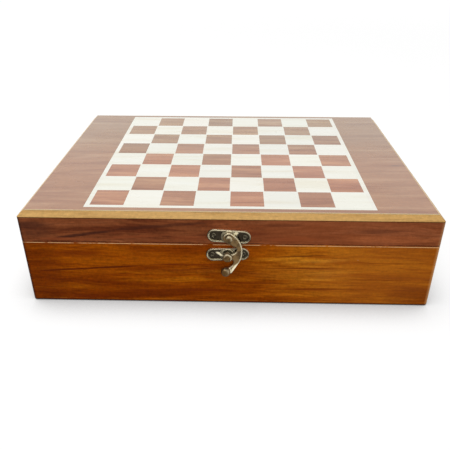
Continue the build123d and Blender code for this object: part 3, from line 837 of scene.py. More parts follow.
@dataclass(frozen=True)
class Mark:
    """A mark on a face, for grain, tarnish, painted shade and painted highlights: its middle along and up the
    face, half-length and half-thickness, in mm.
    """

    spot: Spot
    reach: float
    depth: float
    tone: Colour
    strength: float = 0.8
    slope: float = 0.0
    face: Face = Face.FRONT
    ragged: float = 1.2
    lay: Lay = Lay.OVER

    def paint(self, desk: NodeDesk, place: Socket, colour: Socket) -> Socket:
        """Lays the mark over colour.

        Args:
            desk: The material's desk.
            place: The place on the object.
            colour: The colour so far.

        Returns:
            The colour with the mark.
        """
        turn, up = math.atan(self.slope), self.face.value
        centre, along, across = [0.0] * 3, [0.0] * 3, [0.0] * 3
        centre[0], centre[up] = (distance * MM for distance in self.spot)
        along[0], along[up] = math.cos(turn), math.sin(turn)
        across[0], across[up] = -math.sin(turn), math.cos(turn)
        mask = FrayedMark().put(
            desk,
            Place=place,
            Centre=centre,
            Along=[a / (self.reach * MM) for a in along],
            Across=[a / (self.depth * MM) for a in across],
            Ragged=self.ragged,
        )["Mask"]
        return desk.blend(desk.times(mask, self.strength), colour, self.tone, self.lay)


def tint(
    spot: Spot, reach: float, depth: float, factor: Colour, strength: float, slope: float = 0.0,
    ragged: float = 1.6, face: Face = Face.FRONT,
) -> Mark:
    """Makes a mark that multiplies each channel of what is under it by a factor."""
    return Mark(spot, reach, depth, factor, strength, slope, face, ragged, Lay.TINT)


@dataclass(frozen=True)
class LevelLine:
    """A broken level line of another tone, its level and width in millimetres."""

    level: float
    width: float
    tone: Colour
    strength: float = 0.8
    gaps: float = 0.5

    def paint(self, desk: NodeDesk, place: Socket, colour: Socket) -> Socket:
        """Lays the line over the colour so far."""
        line = LevelLineMask().put(desk, Place=place, Level=self.level * MM, Width=self.width * MM, Gaps=self.gaps)
        return desk.blend(desk.times(line["Mask"], self.strength), colour, self.tone)


def cleared(owner: bpy.types.Material | bpy.types.World) -> NodeDesk:
    """Empties the nodes of a material or a world.

    Args:
        owner: The material or the world.

    Returns:
        The desk of its nodes.
    """
    owner.use_nodes = True
    owner.node_tree.nodes.clear()
    return NodeDesk(owner.node_tree)


def blank_material(name: str) -> tuple[Finish, NodeDesk, Node]:
    """Makes a material that holds only its shader and its output.

    Args:
        name: The material's name.

    Returns:
        The material, its desk and its Principled shader.
    """
    material = bpy.data.materials.new(name)
    desk = cleared(material)
    shader, output = desk.add("BsdfPrincipled"), desk.add("OutputMaterial")
    desk.feed(output.inputs["Surface"], shader.outputs[0])
    return material, desk, shader


def relief(desk: NodeDesk, shader: Node, height: Socket, depth: float, rounding: float = 0.0) -> None:
    """Gives the shader a bumped normal.

    Args:
        desk: The material's desk.
        shader: The material's shader.
        height: The height pattern.
        depth: How deep the pattern is, in millimetres.
        rounding: The radius hard edges seem rounded to, in millimetres, or 0.
    """
    bump = desk.add("Bump")
    desk.fill(bump, {"Height": height, "Strength": 1.0, "Distance": depth * MM})
    if rounding:
        rounded = desk.add("Bevel", samples=4)
        desk.feed(rounded.inputs["Radius"], rounding * MM)
        desk.feed(bump.inputs["Normal"], rounded.outputs[0])
    desk.feed(shader.inputs["Normal"], bump.outputs[0])


@dataclass(frozen=True)
class WoodFinish:
    """Stained and lacquered timber or veneer."""

    name: str
    grain: Grain
    pale: Colour
    middle: Colour
    dark: Colour
    fineness: float = 1.0
    wander: float = 6.0
    streak: float = 0.5
    fibre: float = 0.6
    fleck: float = 0.3
    pores: float = 0.35
    roughness: float = 0.25
    gloss: float = 0.4
    coat: float = 0.0
    bump: float = 0.03
    rounding: float = 0.35
    specks: float = 0.5
    # painted shade on the left upright corners and a painted highlight on the right ones
    left_corner_shade: Colour | None = None
    right_corner_highlight: Colour | None = None
    tile: float = 0.0
    tile_spread: float = 0.16
    marks: tuple[Mark, ...] = ()
    level_lines: tuple[LevelLine, ...] = ()

    bands: Spot = (7.0, 85.0)
    streaks: Spot = (16.0, 300.0)
    fibres: Spot = (70.0, 900.0)
    coat_roughness: float = 0.08
    wave_height: float = 0.25
    speck_tone: Colour = shade(225, 200, 170)

    def features(self, figure: Spot) -> list[float]:
        """Gives the features per metre on each axis of a figure that runs along and across the grain."""
        return self.grain.features(*[count * self.fineness for count in figure])

    def material(self) -> Finish:
        """Builds the material. Where tile is set, each square of that size has a tint of its own.

        Returns:
            The material.
        """
        material, desk, shader = blank_material(self.name)
        place = desk.place()
        figure = WoodFigure().put(
            desk,
            Place=place,
            Bands=self.features(self.bands),
            Streaks=self.features(self.streaks),
            Fibres=self.features(self.fibres),
            Wander=[self.wander * MM] * 3,
            Pale=self.pale,
            Middle=self.middle,
            Dark=self.dark,
            Streak=self.streak,
            Fibre=self.fibre,
            Fleck=self.fleck,
            Pores=self.pores,
        )
        colour = figure["Color"]
        if self.tile:
            sizes = [self.tile * MM, self.tile * MM, 1.0]
            tile = TileTone().put(desk, Place=place, Tile=sizes, Spread=[self.tile_spread] * 3)
            colour = desk.blend(1.0, colour, tile["Tint"], Lay.TINT)
        for mark in self.marks:
            colour = mark.paint(desk, place, colour)
        end, front = (CASE_WIDTH / 2 - 0.5) * MM, FRONT * MM
        # painted shade on the left corners and a painted highlight on the right ones
        for side, tone in ((-1.0, self.left_corner_shade), (1.0, self.right_corner_highlight)):
            if tone:
                corner = CornerTone().put(desk, Place=place, Side=side, End=end, Front=front)
                colour = desk.blend(corner["Mask"], colour, tone)
        # level lines, among them painted shade and painted highlights
        for level_line in self.level_lines:
            colour = level_line.paint(desk, place, colour)
        skin = LacquerSkin().put(desk, Place=place, Roughness=self.roughness, Specks=self.specks)
        desk.fill(
            shader,
            {
                "Base Color": desk.blend(skin["Speck Mask"], colour, self.speck_tone),
                "Roughness": skin["Roughness"],
                "Specular IOR Level": self.gloss,
                "Coat Weight": self.coat,
                "Coat Roughness": self.coat_roughness,
            },
        )
        height = desk.plus(figure["Height"], desk.times(skin["Height"], self.wave_height))
        relief(desk, shader, height, self.bump, self.rounding)
        return material


@dataclass(frozen=True)
class MetalFinish:
    """Aged bronze or brass whose edges are worn bright, with painted light and shade by the side each face
    turns to.
    """

    name: str
    body: Colour
    patina: Colour
    bright: Colour
    roughness: float = 0.34
    edge: float = 0.45
    wear: float = 1.0
    # how strong the painted highlight and painted shade by side are
    side_light: float = 0.6
    sunk_below: float = 0.0
    marks: tuple[Mark, ...] = ()

    metallic: float = 0.9
    bump: float = 0.02
    rounding: float = 0.18
    sunk_share: float = 0.9

    def sunk(self, desk: NodeDesk, place: Socket) -> Value:
        """Finds metal that lies nearer the front board than sunk_below.

        Args:
            desk: The material's desk.
            place: The place on the object.

        Returns:
            Its mask, or 0 where sunk_below isn't set.
        """
        if not self.sunk_below:
            return 0.0
        level = (FRONT + self.sunk_below) * MM
        out = desk.times(desk.split(place)[1], -1.0)
        return desk.step(out, level + 0.25 * MM, level - 0.15 * MM, 0.0, self.sunk_share)

    def material(self) -> Finish:
        """Builds the material.

        Returns:
            The material.
        """
        material, desk, shader = blank_material(self.name)
        place = desk.place()
        edges = WornEdge().put(desk, Place=place, Radius=self.edge * MM, Amount=self.wear)
        skin = MetalSkin().put(
            desk,
            Place=place,
            Body=self.body,
            Patina=self.patina,
            Bright=self.bright,
            Worn=edges["Mask"],
            Side=edges["Side"],
            Sunk=self.sunk(desk, place),
            Handled=self.side_light,
            Roughness=self.roughness,
        )
        colour = skin["Color"]
        for mark in self.marks:
            colour = mark.paint(desk, place, colour)
        desk.fill(
            shader, {"Base Color": colour, "Roughness": skin["Roughness"], "Metallic": self.metallic}
        )
        relief(desk, shader, skin["Height"], self.bump, self.rounding)
        return material


@dataclass(frozen=True)
class FeltFinish:
    """Dyed wool felt."""

    name: str
    deep: Colour
    pale: Colour
    nap_height: float = 0.12

    def material(self) -> Finish:
        """Builds the material.

        Returns:
            The material.
        """
        material, desk, shader = blank_material(self.name)
        nap = FeltNap().put(desk, Place=desk.place(), Deep=self.deep, Pale=self.pale)
        desk.fill(
            shader,
            {
                "Base Color": nap["Color"],
                "Roughness": 0.95,
                "Specular IOR Level": 0.1,
                "Sheen Weight": 0.25,
                "Sheen Roughness": 0.5,
            },
        )
        relief(desk, shader, nap["Height"], self.nap_height)
        return material


def smooth_material(name: str, paint: Callable[[NodeDesk, Socket], Socket], roughness: float) -> Finish:
    """Makes a polished material.

    Args:
        name: Its name.
        paint: Gives its colour from its desk and the place on the object.
        roughness: Its roughness.

    Returns:
        The material.
    """
    material, desk, shader = blank_material(name)
    place = desk.place()
    skin = LacquerSkin().put(desk, Place=place, Roughness=roughness, Specks=0.0)
    desk.fill(shader, {"Base Color": paint(desk, place), "Roughness": skin["Roughness"]})
    relief(desk, shader, skin["Height"], 0.01)
    return material


@dataclass(frozen=True)
class ResinFinish:
    """Moulded and polished resin, or the paint in its pips."""

    name: str
    tone: Colour
    cloud: Colour
    roughness: float = 0.2

    def material(self) -> Finish:
        """Builds the material."""
        return smooth_material(self.name, self.paint, self.roughness)

    def paint(self, desk: NodeDesk, place: Socket) -> Socket:
        """Clouds the resin."""
        return ResinCloud().put(desk, Place=place, Tone=self.tone, Cloud=self.cloud)["Color"]


@dataclass(frozen=True)
class CardFinish:
    """Playing cards: pale stock whose cut edges show, and a trellis on inked backs."""

    name: str
    ink: Colour
    middle: Vector
    size: Vector
    border: float = 4.2
    pitch: float = 6.4
    roughness: float = 0.38
    stock: Colour = shade(238, 234, 224)
    # painted shade between the cards on the cut edges
    gap: Colour = shade(196, 190, 178)

    def edge_material(self) -> Finish:
        """Builds the material of the cards' cut edges."""
        return smooth_material(self.name + "_edge", self.paint_edge, self.roughness)

    def back_material(self) -> Finish:
        """Builds the material of the patterned back."""
        return smooth_material(self.name + "_back", self.paint_back, self.roughness)

    def paint_edge(self, desk: NodeDesk, place: Socket) -> Socket:
        """Shows each card's edge as a line."""
        return CutEdges().put(desk, Place=place, Stock=self.stock, Gap=self.gap)["Color"]

    def paint_back(self, desk: NodeDesk, place: Socket) -> Socket:
        """Prints the trellis inside its border.

        Args:
            desk: The material's desk.
            place: The place on the object.

        Returns:
            The colour.
        """
        inside = [(side / 2 - self.border) * MM for side in self.size.xy]
        trellis = CardTrellis().put(
            desk,
            Place=place,
            Middle=self.middle * MM,
            Inside=[*inside, 0.0],
            Pitch=self.pitch * MM,
        )
        return desk.blend(trellis["Ink"], self.stock, self.ink)


# ------------------------------------------------------------------ mesh making


def rounded_outline(width: float, depth: float, corner: float, steps: int = 5) -> Outline:
    """Gives the points of a rectangle with rounded corners, anticlockwise.

    Args:
        width: Its size along the first axis.
        depth: Its size along the second axis.
        corner: The radius of its corners.
        steps: How many edges a corner has.

    Returns:
        The points, about the middle.
    """
    points = []
    for quarter, (sx, sy) in enumerate(((1, 1), (-1, 1), (-1, -1), (1, -1))):
        for n in range(steps + 1):
            turn = (quarter + n / steps) * math.pi / 2
            x = sx * (width / 2 - corner) + corner * math.cos(turn)
            y = sy * (depth / 2 - corner) + corner * math.sin(turn)
            points.append((x, y))
    return points


def link(name: str, data: bpy.types.ID) -> Thing:
    """Puts a mesh, a lamp or a camera into the scene.

    Args:
        name: The object's name.
        data: What it shows.

    Returns:
        The object.
    """
    thing = bpy.data.objects.new(name, data)
    bpy.context.scene.collection.objects.link(thing)
    return thing


class Piece:
    """A mesh in the making, in millimetres in the frame at rest."""

    def __init__(self, name: str) -> None:
        """Starts an empty mesh.

        Args:
            name: The piece's name.
        """
        self.name = name
        self.mesh = bmesh.new()
        self.finishes: list[Finish] = []

    def finish_index(self, finish: Finish) -> int:
        """Finds the slot of a finish, adding it if it is new.

        Args:
            finish: The finish.

        Returns:
            The slot's number.
        """
        if finish not in self.finishes:
            self.finishes.append(finish)
        return self.finishes.index(finish)

    def loft(
        self, rings: Sequence[Sequence[Point]], finish: Finish, place: Matrix = IN_PLACE
    ) -> None:
        """Joins rings of points in turn and closes both ends.

        Args:
            rings: The rings, each with as many points as the first.
            finish: The finish of the faces.
            place: Where the rings go.
        """
        index = self.finish_index(finish)
        made = [[self.mesh.verts.new(place @ Vector(p)) for p in ring] for ring in rings]
        count = len(rings[0])
        faces = [self.mesh.faces.new(reversed(made[0])), self.mesh.faces.new(made[-1])]
        for low, high in zip(made, made[1:]):
            for n in range(count):
                m = (n + 1) % count
                faces.append(self.mesh.faces.new((low[n], low[m], high[m], high[n])))
        for face in faces:
            face.material_index = index

    def turn(self, profile: Outline, finish: Finish, place: Matrix = IN_PLACE, sides: int = 40) -> None:
        """Turns a profile about Z.

        Args:
            profile: Its (radius, height) points, bottom first.
            finish: The finish of the faces.
            place: Where it goes.
            sides: How many sides it has.
        """
        rings = []
        for radius, height in profile:
            turns = (2 * math.pi * n / sides for n in range(sides))
            rings.append([(radius * math.cos(t), radius * math.sin(t), height) for t in turns])
        self.loft(rings, finish, place)

    def slab(
        self, outline: Outline, span: Spot, finish: Finish, place: Matrix = IN_PLACE, ease: float = 0.0
    ) -> None:
        """Raises an outline between two heights.

        Args:
            outline: Its points.
            span: The heights of its underside and its top.
            finish: The finish of its faces.
            place: Where it goes.
            ease: How much its arrises are eased.
        """
        low, high = span
        middle = Vector((sum(p[0] for p in outline), sum(p[1] for p in outline))) / len(outline)
        widest = max((Vector(p) - middle).length for p in outline)

        def ring(height: float, inset: float) -> list[Point]:
            """Gives the outline at a height, drawn in a little."""
            return [(*(middle + (Vector(p) - middle) * (1 - inset / widest)), height) for p in outline]

        if ease:
            rings = [ring(low, ease), ring(low + ease, 0), ring(high - ease, 0), ring(high, ease)]
        else:
            rings = [ring(low, 0), ring(high, 0)]
        self.loft(rings, finish, place)

    def thing(self) -> Thing:
        """Makes a loose object of the mesh.

        Returns:
            The object.
        """
        self.mesh.transform(Matrix.Scale(MM, 4))
        bmesh.ops.recalc_face_normals(self.mesh, faces=self.mesh.faces)
        data = bpy.data.meshes.new(self.name)
        self.mesh.to_mesh(data)
        self.mesh.free()
        for finish in self.finishes:
            data.materials.append(finish)
        return link(self.name, data)

    def done(self, body: str, slot: str, stands_for: Iterable[str] = (), crease: float = 35.0) -> Thing:
        """Makes the object and ties it to its body.

        Args:
            body: The CAD body it rides on.
            slot: The record's material slot; not used.
            stands_for: The CAD nodes it replaces.
            crease: Edges sharper than this many degrees stay hard.

        Returns:
            The object.
        """
        thing = self.thing()
        soften(thing.data, crease)
        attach(thing, body)
        if stands_for:
            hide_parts(*stands_for)
        LOG.info("made %s: %d faces on %s", self.name, len(thing.data.polygons), body)
        return thing


def soften(data: bpy.types.Mesh, crease: float) -> None:
    """Shades a mesh smooth but for edges sharper than crease degrees."""
    data.polygons.foreach_set("use_smooth", [True] * len(data.polygons))
    data.set_sharp_from_angle(angle=math.radians(crease))


def carve(thing: Thing, cutter: Thing, crease: float = 35.0) -> None:
    """Cuts one object out of another for good and removes the cutter.

    Args:
        thing: The object that is cut.
        cutter: The object cut out of it, which leaves its finish on the cut faces.
        crease: Edges sharper than this many degrees stay hard.
    """
    cut = thing.modifiers.new("carve", "BOOLEAN")
    cut.operation, cut.object, cut.solver, cut.material_mode = "DIFFERENCE", cutter, "EXACT", "TRANSFER"
    cut.use_self = True
    bpy.context.view_layer.update()
    carved = bpy.data.meshes.new_from_object(thing.evaluated_get(bpy.context.evaluated_depsgraph_get()))
    thing.modifiers.clear()
    thing.data = carved
    carved.name = thing.name
    soften(carved, crease)
    bpy.data.objects.remove(cutter)


def dress(finish: Finish, *nodes: str) -> None:
    """Gives CAD nodes a finish.

    Args:
        finish: The finish.
        nodes: The nodes' names.
    """
    for node in nodes:
        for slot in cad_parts[node].material_slots:
            slot.material = finish
        LOG.info("dressed %s in %s", node, finish.name)


# ------------------------------------------------------------------ timber


@dataclass(frozen=True)
class CaseShell:
    """The case's four boards and its floor panel."""

    board_pale: Colour = shade(184, 92, 6)
    board_middle: Colour = shade(153, 68, 3)
    board_dark: Colour = shade(130, 52, 4)
    streak: Colour = shade(98, 34, 10)
    red: Colour = shade(132, 52, 10)
    # tone that evens out the streaks under the painted sheen, as part of it
    calm: Colour = shade(188, 103, 33)
    # dark tone: painted shade along the foot and on the left corners
    edge: Colour = shade(44, 20, 10)
    # painted highlight on the right corners
    lit: Colour = shade(236, 172, 108)
    # pale seam line: part wear, part painted highlight
    brightened: Colour = shade(255, 206, 150)
    # painted highlight on the small rounding just above the foot
    foot_highlight: Colour = shade(196, 120, 40)
    glow: Colour = (1.5, 2.0, 3.0)
    # factor of the painted shadows on the left end and in the lower right corner
    shadow: Colour = (0.72, 0.66, 0.9)
    # factor of the painted sheen that brightens and pales the right half of the front board
    painted_sheen: Colour = (1.6, 2.3, 6.5)
    plywood: tuple[Colour, Colour, Colour] = (shade(214, 180, 132), shade(198, 160, 110), shade(150, 112, 70))

    def front_marks(self) -> tuple[Mark, ...]:
        """Lists the painted sheen and painted shadows, the streaks and the flames of the front board.

        Returns:
            The marks, in the order they are laid.
        """
        return (
            # painted sheen over the right half, then a mark that evens out its streaks as part of it
            tint((93, 28), 84, 42.0, self.painted_sheen, 0.9, ragged=0.4),
            Mark((106, 28), 62, 42.0, self.calm, 0.45, ragged=0.4),
            tint((28, 28), 66, 11.0, self.glow, 0.45, 0.01, ragged=0.8),
            # painted shadow on the left end
            tint((-138, 26), 26, 40.0, self.shadow, 0.75, ragged=0.4),
            Mark((-104, 40), 24, 4.0, self.red, 0.35),
            Mark((-98, 28.5), 46, 0.9, self.streak, 0.85, 0.075),
            tint((-112, 13), 30, 4.0, self.glow, 0.40, 0.05),
            Mark((-100, 4.5), 18, 1.6, self.red, 0.7),
            tint((-34, 27), 40, 4.0, self.glow, 0.60, 0.03),
            tint((-44, 19), 44, 3.0, self.glow, 0.50, 0.02),
            Mark((-30, 33), 34, 0.8, self.red, 0.8, 0.02),
            Mark((-20, 11), 26, 1.6, self.red, 0.75, 0.01),
            Mark((-62, 10), 26, 1.0, self.red, 0.6, 0.04),
            Mark((50, 41), 24, 0.7, self.streak, 0.7, 0.05),
            tint((44, 38), 40, 3.0, self.glow, 0.45),
            Mark((56, 31), 40, 0.8, self.red, 0.7),
            Mark((60, 13.5), 44, 1.1, self.red, 0.65, 0.02),
            Mark((20, 18), 36, 0.9, self.red, 0.6, -0.01),
            Mark((104, 22), 30, 0.7, self.red, 0.5, 0.01),
            Mark((112, 36), 28, 0.8, self.red, 0.4, -0.01),
            # painted shadow in the lower right corner
            tint((132, 9), 28, 9.0, self.shadow, 0.8, 0.06, ragged=0.8),
        )

    def board(self, name: str, grain: Grain, marks: tuple[Mark, ...] = ()) -> Finish:
        """Makes the finish of boards whose grain runs one way, with a pale seam line, painted shade along the
        foot and on the left corners, and painted highlights above the foot and on the right corners.

        Args:
            name: The finish's name.
            grain: Which way the grain runs.
            marks: The marks in the timber.

        Returns:
            The finish.
        """
        # painted shade along the foot, a painted highlight just above it, and the pale seam line, part wear
        # and part painted highlight
        level_lines = (
            LevelLine(0.0, 2.2, self.edge, 0.9, 0.0),
            LevelLine(2.6, 0.35, self.foot_highlight, 0.5, 0.50),
            LevelLine(SEAM - 0.4, 0.5, self.brightened, 1.0, 0.42),
        )
        return WoodFinish(
            name, grain, self.board_pale, self.board_middle, self.board_dark,
            fineness=1.25, wander=9, streak=0.42, fibre=1.05, fleck=0.9, pores=0.2, roughness=0.3, gloss=0.03,
            left_corner_shade=self.edge, right_corner_highlight=self.lit, marks=marks, level_lines=level_lines,
        ).material()

    def build(self) -> None:
        """Dresses the boards and the floor panel."""
        dress(self.board("case_front_timber", Grain.SIDEWAYS, self.front_marks()), "case_front_wall")
        dress(self.board("case_back_timber", Grain.SIDEWAYS), "case_back_wall")
        dress(self.board("case_end_timber", Grain.FRONT_TO_BACK), "case_left_wall", "case_right_wall")
        panel = WoodFinish(
            "floor_plywood", Grain.SIDEWAYS, *self.plywood,
            fineness=0.7, wander=10, fibre=0.3, pores=0.5, roughness=0.6, gloss=0.3, specks=0.0,
        ).material()
        dress(panel, "case_bottom_panel")


@dataclass(frozen=True)
class Dividers:
    """The housed boards that part the wells."""

    pale: Colour = shade(178, 108, 52)
    middle: Colour = shade(142, 78, 34)
    dark: Colour = shade(98, 48, 20)

    def build(self) -> None:
        """Dresses the long divider along its length and the others across the case."""
        dress(self.finish("long_divider_timber", Grain.FRONT_TO_BACK), "long_divider")
        cross = self.finish("cross_divider_timber", Grain.SIDEWAYS)
        for well in ("chess", "card", "domino", "dark_draught", "light_draught"):
            dress(cross, f"{well}_divider")

    def finish(self, name: str, grain: Grain) -> Finish:
        """Makes the dividers' finish for one run of the grain.

        Args:
            name: The finish's name.
            grain: Which way the grain runs.

        Returns:
            The finish.
        """
        return WoodFinish(
            name, grain, self.pale, self.middle, self.dark,
            fineness=1.6, wander=5, pores=0.4, roughness=0.4, gloss=0.3, specks=0.0,
        ).material()


@dataclass(frozen=True)
class Lid:
    """The lid's rails, its bevelled core panel and the veneered chessboard."""

    square_side: float = 24.0
    rail_pale: Colour = shade(172, 102, 64)
    rail_middle: Colour = shade(150, 82, 46)
    rail_dark: Colour = shade(116, 56, 30)
    smoke: Colour = shade(66, 32, 26)
    ember: Colour = shade(172, 89, 49)
    # dark tone: painted shade on the left corners and in the seam, and the dark line along the rails' tops
    # under the bevel
    edge: Colour = shade(38, 18, 12)
    # painted highlight on the right corners
    lit: Colour = shade(206, 148, 100)
    # pale seam line: part wear, part painted highlight
    brightened: Colour = shade(210, 168, 132)
    rail_glow: Colour = (1.6, 1.75, 1.8)
    margin_pale: Colour = shade(181, 137, 104)
    margin_middle: Colour = shade(168, 121, 89)
    margin_dark: Colour = shade(154, 106, 77)
    # factor of the painted sheen on the margins towards the back
    margin_sheen: Colour = (0.91, 1.07, 1.12)
    knot: Colour = shade(112, 84, 70)
    square_pale: Colour = shade(194, 138, 100)
    square_middle: Colour = shade(174, 116, 82)
    square_dark: Colour = shade(150, 92, 62)
    # factor of the painted sheen on the dark squares towards the back
    square_sheen: Colour = (0.86, 1.13, 1.16)
    maple: Colour = shade(241, 241, 232)
    maple_middle: Colour = shade(239, 238, 227)
    maple_dark: Colour = shade(234, 230, 214)
    core: Colour = shade(206, 162, 96)
    core_dark: Colour = shade(186, 141, 78)
    core_line: Colour = shade(236, 212, 160)
    core_dark_line: Colour = shade(150, 100, 58)
    cut_edge: Spot = (0.15, 0.45)

    def front_marks(self) -> tuple[Mark, ...]:
        """Lists the streaks of the front rail, a broad ember first and the rest from left to right.

        Returns:
            The marks, in the order they are laid.
        """
        return (
            Mark((78, 60), 84, 24.0, self.ember, 0.40, ragged=0.4),
            Mark((-132, 61), 18, 9.0, self.smoke, 0.40, ragged=0.5),
            Mark((-134, 64), 14, 3.0, self.smoke, 0.45),
            Mark((-100, 56), 26, 1.5, self.smoke, 0.75, 0.16),
            Mark((-50, 63), 36, 1.8, self.smoke, 0.6, 0.09),
            Mark((-112, 52.5), 24, 1.4, self.ember, 0.6),
            Mark((-66, 55), 22, 1.4, self.ember, 0.5, 0.05),
            Mark((-28, 54), 18, 2.0, self.ember, 0.5),
            Mark((36, 65), 16, 1.6, self.smoke, 0.4),
            Mark((44, 54.5), 22, 2.2, self.ember, 0.7),
            Mark((100, 61), 24, 1.8, self.smoke, 0.4, 0.03),
            tint((108, 55), 40, 3.2, self.rail_glow, 0.7, ragged=1.2),
        )

    def margin_marks(self) -> tuple[Mark, ...]:
        """Lists the figure of the veneer on both side margins, and the painted sheen towards the back.

        Returns:
            The marks, in the order they are laid.
        """
        return (
            Mark((-122, -40), 28, 2.6, self.margin_dark, 0.55, 0.25, Face.TOP),
            Mark((-116, -8), 26, 3.0, self.margin_pale, 0.7, 0.30, Face.TOP),
            Mark((-126, 22), 24, 1.6, self.margin_dark, 0.5, 0.15, Face.TOP),
            Mark((-124, -78), 24, 3.0, self.margin_dark, 0.5, 0.10, Face.TOP),
            Mark((131, -22), 5, 1.2, self.knot, 0.8, 0.0, Face.TOP),
            Mark((118, 14), 30, 1.2, self.margin_dark, 0.6, 0.05, Face.TOP),
            Mark((120, -58), 28, 1.5, self.margin_dark, 0.5, -0.05, Face.TOP),
            self.back_sheen(self.margin_sheen),
        )

    @staticmethod
    def back_sheen(factor: Colour) -> Mark:
        """Makes the broad painted sheen over the back of the board."""
        return tint((0, 118), 900, 150, factor, 1.0, ragged=0.2, face=Face.TOP)

    def rail(self, name: str, grain: Grain, marks: tuple[Mark, ...] = ()) -> Finish:
        """Makes the finish of rails whose grain runs one way.

        Args:
            name: The finish's name.
            grain: Which way the grain runs.
            marks: The marks in the timber.

        Returns:
            The finish.
        """
        # painted shade in the seam, the pale seam line, part wear and part painted highlight, and a dark line
        # along the rail's top under the bevel
        level_lines = (
            LevelLine(SEAM + 0.5, 0.6, self.edge, 0.7, 0.45),
            LevelLine(SEAM + 0.2, 0.25, self.brightened, 0.8, 0.58),
            LevelLine(RAIL_TOP, 0.8, self.edge, 0.6, 0.2),
        )
        return WoodFinish(
            name, grain, self.rail_pale, self.rail_middle, self.rail_dark,
            fineness=1.25, wander=9, streak=0.4, fibre=1.1, fleck=0.9, pores=0.25, roughness=0.3, gloss=0.04,
            left_corner_shade=self.edge, right_corner_highlight=self.lit, marks=marks, level_lines=level_lines,
        ).material()

    def veneer(
        self, name: str, tones: tuple[Colour, Colour, Colour], marks: tuple[Mark, ...], tile: float = 0.0
    ) -> Finish:
        """Makes the finish of the brown veneer.

        Args:
            name: The finish's name.
            tones: Its pale, middle and dark tones.
            marks: The marks in it.
            tile: The side of the squares it is cut into, or 0.

        Returns:
            The finish.
        """
        return WoodFinish(
            name, Grain.SIDEWAYS, *tones,
            fineness=1.3, wander=10, streak=0.22, fibre=0.45, fleck=0.3, pores=0.1, roughness=0.22, gloss=0.5,
            coat=0.35, bump=0.01, rounding=0.15, specks=0.3, tile=tile, marks=marks,
        ).material()

    def light_veneer(self) -> Finish:
        """Makes the finish of the pale squares and the line round them.

        Returns:
            The finish.
        """
        return WoodFinish(
            "light_veneer", Grain.SIDEWAYS, self.maple, self.maple_middle, self.maple_dark,
            fineness=1.4, wander=5, streak=0.03, fibre=0.05, fleck=0.05, pores=0.05, roughness=0.25,
            gloss=0.25, coat=0.1, tile=self.square_side, tile_spread=0.05, bump=0.01, rounding=0.15,
            specks=0.0,
        ).material()

    def core_panel(self) -> Finish:
        """Makes the finish of the fibreboard core, with dark lines and a pale line along its bevel.

        Returns:
            The finish.
        """
        lines = (
            LevelLine(RAIL_TOP + 0.1, 0.5, self.core_dark_line, 0.75, 0.0),
            LevelLine(CORE_TOP - 1.2, 0.45, self.core_line, 0.45, 0.25),
            LevelLine(CORE_TOP, 0.32, self.core_dark_line, 0.8, 0.0),
        )
        return WoodFinish(
            "core_fibreboard", Grain.SIDEWAYS, self.core, self.core, self.core_dark,
            fineness=2.0, wander=2, streak=0.25, fibre=0.6, fleck=0.7, pores=0.15, roughness=0.4, gloss=0.15,
            bump=0.04, level_lines=lines, specks=0.2,
        ).material()

    def build(self) -> None:
        """Dresses the lid's nodes."""
        dress(self.rail("lid_front_timber", Grain.SIDEWAYS, self.front_marks()), "lid_front_rail")
        dress(self.rail("lid_back_timber", Grain.SIDEWAYS), "lid_back_rail")
        dress(self.rail("lid_end_timber", Grain.FRONT_TO_BACK), "lid_left_rail", "lid_right_rail")
        dress(self.core_panel(), "lid_top_panel")
        brown = (self.margin_pale, self.margin_middle, self.margin_dark)
        margin = self.veneer("margin_veneer", brown, self.margin_marks())
        dress(self.edged(margin), "board_surround")
        brown = (self.square_pale, self.square_middle, self.square_dark)
        squares = self.veneer("dark_square_veneer", brown, (self.back_sheen(self.square_sheen),), self.square_side)
        dress(squares, "board_dark_squares")
        dress(self.light_veneer(), "board_light_field")

    def edged(self, finish: Finish) -> Finish:
        """Lets the pale cut edge of the veneer show round the outside of the margin.

        Args:
            finish: The margin's finish.

        Returns:
            The same finish with its edge.
        """
        desk = NodeDesk(finish.node_tree)
        shader = next(n for n in finish.node_tree.nodes if n.type == "BSDF_PRINCIPLED")
        under = shader.inputs["Base Color"].links[0].from_socket
        x, y, _ = desk.split(desk.place())
        out = desk.math(
            "MAXIMUM",
            desk.minus(desk.unsigned(x), MARGIN_SIZE.x / 2 * MM),
            desk.minus(desk.unsigned(y), MARGIN_SIZE.y / 2 * MM),
        )
        outer, inner = self.cut_edge
        rim = desk.step(out, -inner * MM, -outer * MM)
        desk.feed(shader.inputs["Base Color"], desk.blend(rim, under, self.core_line))
        return finish


# ------------------------------------------------------------------ linings


